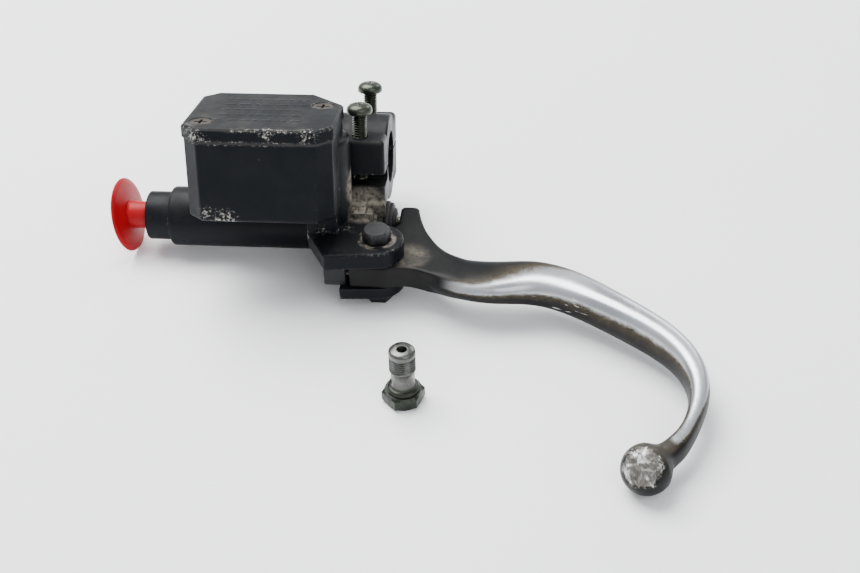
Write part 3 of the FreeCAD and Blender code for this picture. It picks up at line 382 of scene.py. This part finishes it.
def red_plastic():
    """Glossy red polyethylene that lets some light through, scuffed on its rim."""
    g = Graph("red_polyethylene")
    cloud = g.noise(55, 4.0)
    colour = g.mix(g.band(cloud, 0.3, 0.7), (0.28, 0.002, 0.005), (0.38, 0.004, 0.010))
    scuffs = g.band(g.noise(350, 6.0, 0.75, 0.0, stretch=(1.0, 3.0, 0.6)), 0.60, 0.82)
    colour = g.mix(g.maths("MULTIPLY", scuffs, 0.10), colour, (0.75, 0.16, 0.14))
    rough = g.blend(scuffs, 0.38, 0.6)
    normal = g.bump(g.noise(800, 3.0), 0.12, 0.03 * MM, g.soft_edges(0.3 * MM))
    return g.finish(Base_Color=colour, Roughness=rough, Normal=normal, Subsurface_Weight=0.12,
                    Subsurface_Radius=(2.5 * MM, 0.4 * MM, 0.3 * MM), Subsurface_Scale=1.0,
                    Specular_IOR_Level=0.15)


def clear_plastic():
    """The sight glass: clear, slightly yellowed, with fine crazing."""
    g = Graph("sight_glass_lens")
    craze = g.band(g.noise(900, 5.0, 0.7), 0.55, 0.8)
    colour = g.mix(craze, (0.85, 0.80, 0.62), (0.70, 0.62, 0.45))
    return g.finish(Base_Color=colour, Roughness=g.blend(craze, 0.08, 0.3),
                    Transmission_Weight=0.75, IOR=1.49)


def plated_steel():
    """Olive passivated screws, with paler worn crests and painted shade in the thread roots and hollows."""
    return plain_metal("olive_passivated_steel", (0.062, 0.069, 0.050), (0.028, 0.034, 0.025),
                       0.30, 0.85, (0.045, 0.045, 0.033), 0.3, shaded_hollows=True)


# ---------------------------------------------------------------- mesh tools


def finish_mesh(name, build, smooth_angle=35.0):
    """Link a bmesh as an object with smooth shading that breaks at sharp edges."""
    sharpest = math.radians(smooth_angle)
    mesh = bpy.data.meshes.new(name)
    bmesh.ops.recalc_face_normals(build, faces=build.faces)
    for edge in build.edges:
        edge.smooth = not (edge.is_manifold and edge.calc_face_angle(0.0) > sharpest)
    for face in build.faces:
        face.smooth = True
    build.to_mesh(mesh)
    build.free()
    thing = bpy.data.objects.new(name, mesh)
    bpy.context.scene.collection.objects.link(thing)
    return thing


def lathe(name, profile, segments=96, angle=35.0):
    """A closed turned solid about its own +X axis, from (along, radius) pairs in millimetres."""
    build = bmesh.new()
    rings = []
    for along, radius in profile:
        if radius <= 0.0:
            rings.append([build.verts.new((along * MM, 0, 0))])
            continue
        ring = []
        for i in range(segments):
            turn = math.tau * i / segments
            ring.append(build.verts.new((along * MM, radius * MM * math.cos(turn),
                                         radius * MM * math.sin(turn))))
        rings.append(ring)
    for first, second in zip(rings, rings[1:]):
        join_rings(build, first, second)
    if len(rings[0]) > 1 and len(rings[-1]) > 1:
        join_rings(build, rings[-1], rings[0])
    return finish_mesh(name, build, angle)


def join_rings(build, first, second):
    count = max(len(first), len(second))
    for i in range(count):
        following = (i + 1) % count
        if len(first) == 1:
            build.faces.new((first[0], second[following], second[i]))
        elif len(second) == 1:
            build.faces.new((first[i], first[following], second[0]))
        else:
            build.faces.new((first[i], first[following], second[following], second[i]))


def threaded_turning(name, outline, thread, segments=64, angle=50.0):
    """A closed turned solid about +Z from (height, radius) pairs in millimetres.

    Where the outline runs straight between the two heights of thread, it carries a helical V
    groove; thread is (low, high, pitch, depth).
    """
    low, high, pitch, depth = thread
    stations = [(*outline[0], False)]
    for (z0, r0), (z1, r1) in zip(outline, outline[1:]):
        threaded = r0 == r1 and min(z0, z1) >= low and max(z0, z1) <= high
        steps = max(1, round(abs(z1 - z0) / pitch * 8)) if threaded else 1
        stations += [(z0 + (z1 - z0) * j / steps, r0 + (r1 - r0) * j / steps, threaded)
                     for j in range(1, steps + 1)]
    build = bmesh.new()
    rings = []
    for z, radius, threaded in stations:
        if radius <= 0.0:
            rings.append([build.verts.new((0, 0, z * MM))])
            continue
        ring = []
        for i in range(segments):
            reach = radius
            if threaded:
                phase = (z / pitch - i / segments) % 1.0
                fade = min(1.0, (high - z) / pitch, (z - low) / pitch)
                reach -= depth * fade * min(1.0, 1.3 * abs(2.0 * phase - 1.0))
            turn = math.tau * i / segments
            ring.append(build.verts.new((reach * MM * math.cos(turn), reach * MM * math.sin(turn),
                                         z * MM)))
        rings.append(ring)
    for first, second in zip(rings, rings[1:]):
        join_rings(build, first, second)
    return finish_mesh(name, build, angle)


def merge(name, pieces):
    """Join two or more objects into one and give it a name."""
    bpy.ops.object.select_all(action="DESELECT")
    for piece in pieces:
        piece.select_set(True)
    bpy.context.view_layer.objects.active = pieces[0]
    bpy.ops.object.join()
    pieces[0].name = name
    pieces[0].data.name = name
    return pieces[0]


def subtract(target, cutters):
    """Cut closed meshes out of a target mesh, exactly, and remove them."""
    for cutter in cutters:
        step = target.modifiers.new("cut", "BOOLEAN")
        step.operation = "DIFFERENCE"
        step.solver = "EXACT"
        step.object = cutter
        apply_modifiers(target)
        bpy.data.objects.remove(cutter)


def apply_modifiers(thing):
    bpy.ops.object.select_all(action="DESELECT")
    thing.select_set(True)
    bpy.context.view_layer.objects.active = thing
    for step in list(thing.modifiers):
        bpy.ops.object.modifier_apply(modifier=step.name)


def put(thing, matrix):
    """Move the vertices of a mesh by a matrix and leave its object at the origin."""
    thing.data.transform(matrix)
    thing.data.update()


def paint(thing, material):
    thing.data.materials.clear()
    thing.data.materials.append(material)


def upright_box(node):
    """The lowest and highest corner of a CAD node before the lean."""
    points = [LEAN.inverted() @ vertex.co for vertex in nodes[node].data.vertices]
    return (Vector([min(p[i] for p in points) for i in range(3)]),
            Vector([max(p[i] for p in points) for i in range(3)]))


def stand_for(piece, node, material):
    """Give a piece its material, its body and the CAD node that it replaces."""
    paint(piece, material)
    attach(piece, body_of(node))
    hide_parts(node)


def body_of(node):
    bodies = frame["record"]["behaviour"]["bodies"]
    return next(body for body, members in bodies.items() if node in members)


def repaint(node, material):
    """Give a CAD node's own slots a better material."""
    thing = nodes[node]
    if not thing.material_slots:
        thing.data.materials.append(material)
    for own in thing.material_slots:
        own.material = material


# ---------------------------------------------------------------- lever


def make_lever(material):
    """The forged lever: the CAD forging with its junctions blended and its ball scarred."""
    source = nodes["brake_lever"]
    mesh = source.data.copy()
    lever = bpy.data.objects.new("lever_forging", mesh)
    bpy.context.scene.collection.objects.link(lever)
    weld(lever)
    remesh = lever.modifiers.new("remesh", "REMESH")
    remesh.mode = "VOXEL"
    remesh.voxel_size = 0.5 * MM
    smooth = lever.modifiers.new("smooth", "SMOOTH")
    smooth.factor = 0.5
    smooth.iterations = 7
    apply_modifiers(lever)
    melt(lever, "root", root_junction, factor=0.7, iterations=130)
    melt(lever, "neck", neck_junction, factor=0.6, iterations=90)
    scar_ball(lever)
    keep_bush_hole(lever)
    for face in lever.data.polygons:
        face.use_smooth = True
    stand_for(lever, "brake_lever", material)


def weld(thing):
    build = bmesh.new()
    build.from_mesh(thing.data)
    bmesh.ops.remove_doubles(build, verts=build.verts, dist=1e-6)
    build.to_mesh(thing.data)
    build.free()


def melt(lever, name, weight, factor, iterations):
    """Smooth the forging where the function weight, of a place, is above zero."""
    group = lever.vertex_groups.new(name=name)
    for vertex in lever.data.vertices:
        share = weight(vertex.co)
        if share > 0.0:
            group.add([vertex.index], min(1.0, share), "REPLACE")
    smooth = lever.modifiers.new(name, "SMOOTH")
    smooth.factor = factor
    smooth.iterations = iterations
    smooth.vertex_group = group.name
    apply_modifiers(lever)


def root_junction(place):
    """1 where the flat root meets the rounded blade, falling to 0 on both sides."""
    away = abs(place.x - PIVOT.x - 34 * MM)
    return 1.0 - away / (13 * MM) if place.y > PIVOT.y - 40 * MM else 0.0


def neck_junction(place):
    """1 round the neck of the blade where it runs into the ball."""
    offset = place - BALL
    if offset.dot(TOWARD_NECK) < 0.35 * BALL_RADIUS:
        return 0.0
    return 1.3 - abs(offset.length - 1.15 * BALL_RADIUS) / (0.48 * BALL_RADIUS)


def scar_ball(lever):
    """Roughen the ground face of the ball with short ploughed furrows."""
    furrow = ABRADED.cross(Vector((0.3, 1.0, 0.4))).normalized()
    across = ABRADED.cross(furrow)
    for vertex in lever.data.vertices:
        offset = vertex.co - BALL
        if offset.length > 1.15 * BALL_RADIUS:
            continue
        depth = offset.dot(ABRADED)
        weight = min(1.0, max(0.0, (depth - 5.3 * MM) / (1.2 * MM)))
        if weight == 0.0:
            continue
        u, v = offset.dot(across) / MM, offset.dot(furrow) / MM
        coarse = noise.noise(Vector((u * 0.55, v * 0.25, 3.1)))
        fine = noise.noise(Vector((u * 1.9, v * 0.8, 7.7)))
        vertex.co += ABRADED * weight * MM * (0.42 * coarse + 0.2 * fine - 0.12)


def keep_bush_hole(lever):
    """Put the vertices of the pivot hole back on their true radius after smoothing."""
    low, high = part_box("pivot_bush")
    true_radius = (high.x - low.x) / 2 + 0.05 * MM
    for vertex in lever.data.vertices:
        flat = Vector((vertex.co.x - PIVOT.x, vertex.co.y - PIVOT.y))
        if flat.length < true_radius + 0.4 * MM:
            flat = flat.normalized() * true_radius
            vertex.co.x, vertex.co.y = PIVOT.x + flat.x, PIVOT.y + flat.y


# ---------------------------------------------------------------- screws and bolts


def cross_recess(size, depth):
    """A tapered cross, pointing down its own -Z from the origin, to cut a screwdriver recess."""
    build = bmesh.new()
    wing = 0.19 * size
    outline = [(size, wing), (wing, wing), (wing, size), (-wing, size), (-wing, wing),
               (-size, wing), (-size, -wing), (-wing, -wing), (-wing, -size), (wing, -size),
               (wing, -wing), (size, -wing)]
    top = [build.verts.new((x * MM, y * MM, 1.0 * MM)) for x, y in outline]
    low = [build.verts.new((x * 0.55 * MM, y * 0.55 * MM, -depth * MM)) for x, y in outline]
    join_rings(build, low, top)
    build.faces.new(top)
    build.faces.new(list(reversed(low)))
    return finish_mesh("recess_cutter", build)


def pan_head_outline(radius, height, length, shank):
    """The outline of a domed screw from its tip, its head's seat at height 0."""
    outline = [(-length, 0.0), (-length, shank - 0.6), (0.6 - length, shank), (0.0, shank),
               (0.0, radius - 0.35), (0.35, radius)]
    steps = 9
    for i in range(steps):
        turn = math.pi / 2 * i / steps
        outline.append((height * (0.35 + 0.65 * math.sin(turn)),
                        radius * (0.3 + 0.7 * math.cos(turn))))
    return outline + [(height, 0.3 * radius), (height, 0.0)]


def make_clamp_screws(material):
    """Two M6 pan-head screws with real threads, each where the CAD has it."""
    shank_radius, head_radius, head_height = 3.0, 5.25, 4.0
    pitch, thread_depth = 1.0, 0.55
    for index, (low, high) in enumerate(loose_upright_boxes("clamp_screws")):
        length = (high.z - low.z) / MM - head_height
        seat = Vector(((low.x + high.x) / 2, (low.y + high.y) / 2, high.z - head_height * MM))
        outline = pan_head_outline(head_radius, head_height, length, shank_radius)
        thread = (0.6 - length, 0.0, pitch, thread_depth)
        screw = threaded_turning("clamp_screw", outline, thread, 48)
        recess = cross_recess(size=2.5, depth=2.2)
        turn_of_cross = 0.3 + index
        put(recess, Matrix.Rotation(turn_of_cross, 4, "Z"))
        put(recess, Matrix.Translation((0, 0, head_height * MM)))
        subtract(screw, [recess])
        put(screw, LEAN @ Matrix.Translation(seat))
        screw.name = f"clamp_screw_{'front' if index == 0 else 'rear'}"
        stand_for(screw, "clamp_screws", material)


def loose_upright_boxes(node):
    """The boxes of a CAD node's separate solids before the lean, from front to back."""
    mesh = nodes[node].data
    parent = list(range(len(mesh.vertices)))

    def root(i):
        while parent[i] != i:
            parent[i] = parent[parent[i]]
            i = parent[i]
        return i

    for edge in mesh.edges:
        parent[root(edge.vertices[0])] = root(edge.vertices[1])
    seen = {}
    same_place = 0.002 * MM
    for vertex in mesh.vertices:
        key = tuple(round(c / same_place) for c in vertex.co)
        if key in seen:
            parent[root(vertex.index)] = root(seen[key])
        seen[key] = vertex.index
    groups = {}
    for vertex in mesh.vertices:
        groups.setdefault(root(vertex.index), []).append(LEAN.inverted() @ vertex.co)
    boxes = []
    for points in groups.values():
        low = Vector([min(p[i] for p in points) for i in range(3)])
        high = Vector([max(p[i] for p in points) for i in range(3)])
        boxes.append((low, high))
    return sorted(boxes, key=lambda pair: pair[0].y)


def hexagon_head(across, height, bevel):
    """A hexagon head with its corners turned off, from the origin up its own +Z."""
    build = bmesh.new()
    corner = across / 2 / math.cos(math.pi / 6)
    levels = []
    segments = 120
    for z, limit in ((0.0, across / 2 - 0.2), (bevel, corner + 0.1), (height - bevel, corner + 0.1),
                     (height, across / 2 - 0.2)):
        ring = []
        for i in range(segments):
            turn = math.tau * i / segments
            flat = across / 2 / math.cos((turn % (math.pi / 3)) - math.pi / 6)
            reach = min(flat, limit)
            ring.append(build.verts.new((reach * MM * math.cos(turn), reach * MM * math.sin(turn),
                                         z * MM)))
        levels.append(ring)
    for first, second in zip(levels, levels[1:]):
        join_rings(build, first, second)
    build.faces.new(list(reversed(levels[0])))
    build.faces.new(levels[-1])
    return finish_mesh("hexagon_head", build, 28.0)


def make_banjo_bolt(head_material, material):
    """The hollow banjo bolt, standing on its head: hexagon, collar, shank and fine thread."""
    low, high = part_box("banjo_bolt")
    centre = (low + high) / 2
    tip = (high.z - low.z) / MM
    bore, shank, crest = 1.7, 4.45, 4.95
    thread_start, thread_end = 14.8, tip - 2.2
    head = hexagon_head(across=14.0, height=5.4, bevel=0.9)
    put(head, Matrix.Rotation(math.radians(12), 4, "Z"))
    outline = [(5.2, 0.0), (5.2, 5.6), (5.5, 6.0), (6.3, 6.0), (6.8, 5.6), (7.1, 4.75),
               (8.0, shank), (14.0, shank), (thread_start, crest), (thread_end, crest),
               (tip - 0.9, 4.9), (tip, 4.1), (tip, 1.95), (tip - 0.4, bore), (7.5, bore), (7.0, 0.0)]
    stem = threaded_turning("banjo_stem", outline, (thread_start, thread_end, 1.0, 0.55))
    cross = lathe("cross_drilling", [(-9.0, 0.0), (-9.0, 1.4), (9.0, 1.4), (9.0, 0.0)], 32)
    put(cross, Matrix.Rotation(math.radians(20), 4, "Z"))
    drilling_height = 10.2 * MM
    put(cross, Matrix.Translation((0, 0, drilling_height)))
    subtract(stem, [cross])
    paint(stem, material)
    paint(head, head_material)
    bolt = merge("banjo_bolt_turned", [head, stem])
    collar_top = 7.6 * MM
    for face in bolt.data.polygons:
        if face.center.z < collar_top:
            face.material_index = 0
    put(bolt, Matrix.Translation((centre.x, centre.y, low.z)))
    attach(bolt, body_of("banjo_bolt"))
    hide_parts("banjo_bolt")


def make_pivot_bolt(material):
    """The shoulder bolt of the lever, its hexagon head on the upper ear."""
    low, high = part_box("pivot_bolt")
    head_height = 5.0
    seat = high.z / MM - head_height
    shoulder, shank = 3.95, 3.0
    head = hexagon_head(across=10.0, height=head_height, bevel=0.75)
    put(head, Matrix.Rotation(math.radians(14), 4, "Z"))
    put(head, Matrix.Translation((0, 0, seat * MM)))
    tip = low.z / MM
    shoulder_end = -23.0
    outline = [(tip, 0.0), (tip, 2.5), (tip + 0.5, shank), (shoulder_end, shank),
               (shoulder_end, shoulder), (seat + 0.6, shoulder), (seat + 0.6, 0.0)]
    stem = threaded_turning("pivot_stem", outline, (tip + 0.5, shoulder_end, 1.0, 0.5), 48)
    bolt = merge("pivot_shoulder_bolt", [head, stem])
    put(bolt, Matrix.Translation((PIVOT.x, PIVOT.y, 0)))
    stand_for(bolt, "pivot_bolt", material)


# ---------------------------------------------------------------- lid


def make_lid_bars(material):
    """Rows of short raised bars on the lid's top, of random lengths."""
    random = Random(11)
    build = bmesh.new()
    low, high = upright_box("reservoir_lid")
    rows = 5
    front_row, row_spread = 0.24, 0.56
    left_end, right_end = 0.20, 0.74
    for row in range(rows):
        y = low.y + (front_row + row_spread * row / (rows - 1)) * (high.y - low.y)
        x = low.x + left_end * (high.x - low.x)
        while x < low.x + right_end * (high.x - low.x):
            length = random.uniform(1.4, 5.2) * MM
            raised_bar(build, Vector((x, y, high.z)), length, 1.5 * MM, 0.13 * MM)
            x += length + random.uniform(0.7, 1.6) * MM
    bars = finish_mesh("lid_relief_bars", build, 30.0)
    put(bars, LEAN)
    paint(bars, material)
    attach(bars, body_of("reservoir_lid"))


def raised_bar(build, corner, length, depth, height):
    """A low bar with sloping sides that starts just under the surface that it stands on."""
    slope = 0.25 * MM
    rings = []
    for inset, z in ((0.0, -0.1 * MM), (0.0, 0.02 * MM), (slope, height)):
        rings.append([build.verts.new(corner + Vector((x, y, z))) for x, y in (
            (inset, inset), (length - inset, inset), (length - inset, depth - inset),
            (inset, depth - inset))])
    for first, second in zip(rings, rings[1:]):
        join_rings(build, first, second)
    build.faces.new(list(reversed(rings[0])))
    build.faces.new(rings[-1])


# ---------------------------------------------------------------- plug, boot, spring


def make_plug(material):
    """The red transit plug: a thin dished disc, bent a little askew, on a stem in the port."""
    stem_start = PORT_FACE_X - 9.0 * MM
    stem_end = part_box("transit_plug")[1].x
    disc = lathe("disc", [(-0.2, 0.0), (-0.2, 5.0), (-0.5, 9.0), (-1.1, 13.5), (-1.3, 15.3),
                          (-0.9, 15.65), (-0.4, 15.4), (0.0, 13.2), (0.7, 8.5), (1.2, 6.2),
                          (1.3, 0.0)], 128, 60.0)
    askew = Matrix.Rotation(math.radians(-3), 4, "Z") @ Matrix.Rotation(math.radians(-11), 4, "Y")
    put(disc, askew)
    put(disc, Matrix.Translation((stem_start, BORE.y, BORE.z)))
    end = (stem_end - stem_start) / MM
    face = (PORT_FACE_X - stem_start) / MM
    stem = lathe("stem", [(0.2, 0.0), (0.2, 6.4), (0.9, 5.8), (face - 0.5, 5.65),
                          (face - 0.12, 5.5), (face - 0.1, 4.85), (end - 1.2, 4.8), (end, 4.1),
                          (end, 0.0)], 96)
    put(stem, Matrix.Translation((stem_start, BORE.y, BORE.z)))
    plug = merge("transit_plug_moulding", [disc, stem])
    stand_for(plug, "transit_plug", material)


def make_boot(material):
    """The dust boot: a rubber sleeve with two folds, from the mouth of the bore to the piston."""
    low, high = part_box("dust_boot")
    profile = [(0.0, 4.6), (0.0, 8.4), (5.0, 8.5), (5.1, 8.75), (6.9, 8.75), (7.3, 8.4), (7.5, 8.05),
               (7.8, 8.4), (8.1, 8.65), (9.3, 8.65), (9.6, 8.3), (9.9, 7.85), (10.3, 8.05), (10.9, 7.9),
               (11.3, 7.0), (11.5, 6.0), (12.2, 5.7), (12.45, 5.2), (12.45, 3.75), (10.2, 3.8),
               (10.0, 4.6)]
    boot = lathe("boot_folds", profile, 80, 50.0)
    put(boot, Matrix.Translation((low.x, BORE.y, BORE.z)))
    stand_for(boot, "dust_boot", material)
    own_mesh(boot)


def make_spring(material):
    """The return spring inside the bore: a wire coil between the ends of the CAD spring."""
    low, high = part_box("return_spring")
    wire = 0.6 * MM
    coil = 5.0 * MM
    turns = 8
    steps = turns * 32
    sides = 10
    build = bmesh.new()
    rings = []
    start, end = low.x + 2 * wire, high.x - wire
    for j in range(steps + 1):
        turn = math.tau * turns * j / steps
        along = start + (end - start) * j / steps
        centre = Vector((along, coil * math.cos(turn), coil * math.sin(turn)))
        out = Vector((0, math.cos(turn), math.sin(turn)))
        ring = []
        for i in range(sides):
            around = math.tau * i / sides
            ring.append(build.verts.new(centre + wire * (out * math.cos(around)
                                                         + Vector((1, 0, 0)) * math.sin(around))))
        rings.append(ring)
    for first, second in zip(rings, rings[1:]):
        join_rings(build, first, second)
    build.faces.new(list(reversed(rings[0])))
    build.faces.new(rings[-1])
    spring = finish_mesh("spring_coil", build, 80.0)
    put(spring, Matrix.Translation((0, BORE.y, BORE.z)))
    stand_for(spring, "return_spring", material)
    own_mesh(spring)


# ---------------------------------------------------------------- stage, light and camera


def make_stage():
    """A plain pale floor, large soft lights and a bright sky."""
    bpy.ops.mesh.primitive_plane_add(size=6.0, location=(0, 0, FLOOR_Z - 0.02 * MM))
    floor = bpy.context.object
    floor.name = "floor"
    g = Graph("pale_bench")
    cloud = g.noise(3.0, 3.0)
    colour = g.mix(g.band(cloud, 0.3, 0.7), (0.90, 0.90, 0.91), (0.94, 0.94, 0.945))
    paint(floor, g.finish(Base_Color=colour, Roughness=0.55, Specular_IOR_Level=0.3))
    world = bpy.data.worlds.new("studio")
    world.use_nodes = True
    background = world.node_tree.nodes["Background"]
    background.inputs["Color"].default_value = (0.93, 0.96, 1.0, 1.0)
    background.inputs["Strength"].default_value = 0.90
    bpy.context.scene.world = world
    add_light("key", (-0.35, 0.30, 0.95), (0.0, -0.05, 0.0), 0.9, 34.0)
    add_light("fill", (0.55, -0.75, 0.75), (0.02, -0.06, 0.0), 0.8, 4.5)
    add_light("strip", (0.45, 0.75, 0.45), (0.05, -0.05, 0.0), 0.35, 2.2)


def add_light(name, place, target, size, power):
    data = bpy.data.lights.new(name, "AREA")
    data.shape = "SQUARE"
    data.size = size
    data.energy = power
    lamp = bpy.data.objects.new(name, data)
    bpy.context.scene.collection.objects.link(lamp)
    lamp.location = place
    lamp.rotation_euler = (Vector(target) - Vector(place)).to_track_quat("-Z", "Y").to_euler()


def make_camera():
    """The camera, at a height of about 38 degrees and a little to the right of the front."""
    data = bpy.data.cameras.new("camera")
    data.sensor_width = 36.0
    data.lens = 53.8
    camera = bpy.data.objects.new("camera", data)
    bpy.context.scene.collection.objects.link(camera)
    place = Vector((66.4, -463.7, 289.1)) * MM
    target = Vector((29.97, -45.26, -34.2)) * MM
    look = (target - place).to_track_quat("-Z", "Y").to_matrix().to_4x4()
    roll = Matrix.Rotation(math.radians(-1.26), 4, "Z")
    camera.matrix_world = Matrix.Translation(place) @ look @ roll
    bpy.context.scene.camera = camera


# ---------------------------------------------------------------- build

make_camera()
make_stage()

# Places where the paint is scratched through, each a point and a radius.
lid_low, lid_high = upright_box("reservoir_lid")
reservoir_foot = -7.4 * MM
CASTING_SCRATCHES = [
    (LEAN @ Vector((lid_low.x + 16 * MM, lid_low.y + 0.5 * MM, reservoir_foot)), 9 * MM),
    (LEAN @ Vector((lid_low.x + 8 * MM, lid_low.y + 1.5 * MM, reservoir_foot + 4 * MM)), 5 * MM),
    (Vector((-12, -47, -6)) * MM, 5 * MM),
    (Vector((-3, -45, -6)) * MM, 4 * MM),
]
LID_SCRATCHES = [
    (LEAN @ Vector((lid_low.x + 3 * MM, lid_low.y + 5 * MM, lid_high.z)), 6 * MM),
    (LEAN @ Vector((lid_low.x + 7 * MM, lid_low.y, lid_low.z + 1 * MM)), 6 * MM),
    (LEAN @ Vector((lid_low.x + 34 * MM, lid_low.y, lid_high.z - 1 * MM)), 5 * MM),
    (LEAN @ Vector((lid_high.x - 9 * MM, lid_low.y + 0.5 * MM, lid_high.z - 2 * MM)), 6 * MM),
]
casting_paint = cast_paint("cast_black_paint", 0.4, 0.6, CASTING_SCRATCHES)
lid_paint = cast_paint("lid_black_paint", 0.45, 0.85, LID_SCRATCHES)
relief_paint = cast_paint("relief_black_paint", dust_amount=0.55, chip_amount=-0.6)
cap_paint = cast_paint("cap_black_paint", 0.5, 0.3)
steel = plain_metal("bright_steel", (0.46, 0.46, 0.47), (0.30, 0.30, 0.31))
black_steel = plain_metal("blackened_steel", (0.022, 0.022, 0.023), (0.010, 0.010, 0.011), 0.45,
                          0.5, (0.075, 0.066, 0.052), 0.3)
lid_screw_steel = plain_metal("rusty_lid_screws", (0.050, 0.040, 0.032), (0.024, 0.019, 0.015),
                              0.5, 0.4, (0.060, 0.030, 0.014), 0.6)
# The banjo bolt's steel also gets painted shade in its thread roots and hollows.
banjo_steel = plain_metal("worn_zinc_plate", (0.155, 0.155, 0.15), (0.072, 0.075, 0.067), 0.28,
                          0.95, (0.08, 0.085, 0.065), 0.4, shaded_hollows=True)
dark_zinc = plain_metal("black_passivated_steel", (0.038, 0.043, 0.034), (0.017, 0.020, 0.015),
                        0.35, 0.8, (0.09, 0.085, 0.065), 0.3)
brass = plain_metal("tinned_brass", (0.60, 0.47, 0.26), (0.42, 0.32, 0.17))
bronze = plain_metal("sintered_bronze", (0.42, 0.28, 0.14), (0.25, 0.17, 0.09), 0.5)
alloy = plain_metal("piston_alloy", (0.16, 0.155, 0.14), (0.09, 0.088, 0.08), 0.4, 0.9)
olive = plated_steel()
black_rubber = rubber("black_rubber")
black_plastic = moulded_plastic("black_plastic", (0.010, 0.010, 0.011))

CAD_MATERIALS = {
    "master_cylinder_body": casting_paint,
    "reservoir_lid": lid_paint,
    "lid_screws": lid_screw_steel,
    "diaphragm": black_rubber,
    "diaphragm_plate": black_plastic,
    "port_baffle": steel,
    "sight_glass": clear_plastic(),
    "sight_ring": black_plastic,
    "clamp_cap": cap_paint,
    "pivot_bush": bronze,
    "pivot_nut": black_steel,
    "piston": alloy,
    "primary_cup": black_rubber,
    "secondary_cup": black_rubber,
    "spring_seat": steel,
    "piston_washer": steel,
    "circlip": black_steel,
    "switch_case": black_plastic,
    "switch_terminals": brass,
    "switch_plunger": black_steel,
    "switch_screw": olive,
}
for node_name, node_material in CAD_MATERIALS.items():
    repaint(node_name, node_material)

make_lever(lever_metal())
make_clamp_screws(olive)
make_banjo_bolt(dark_zinc, banjo_steel)
make_pivot_bolt(black_steel)
make_lid_bars(relief_paint)
make_plug(red_plastic())
make_boot(black_rubber)
make_spring(steel)
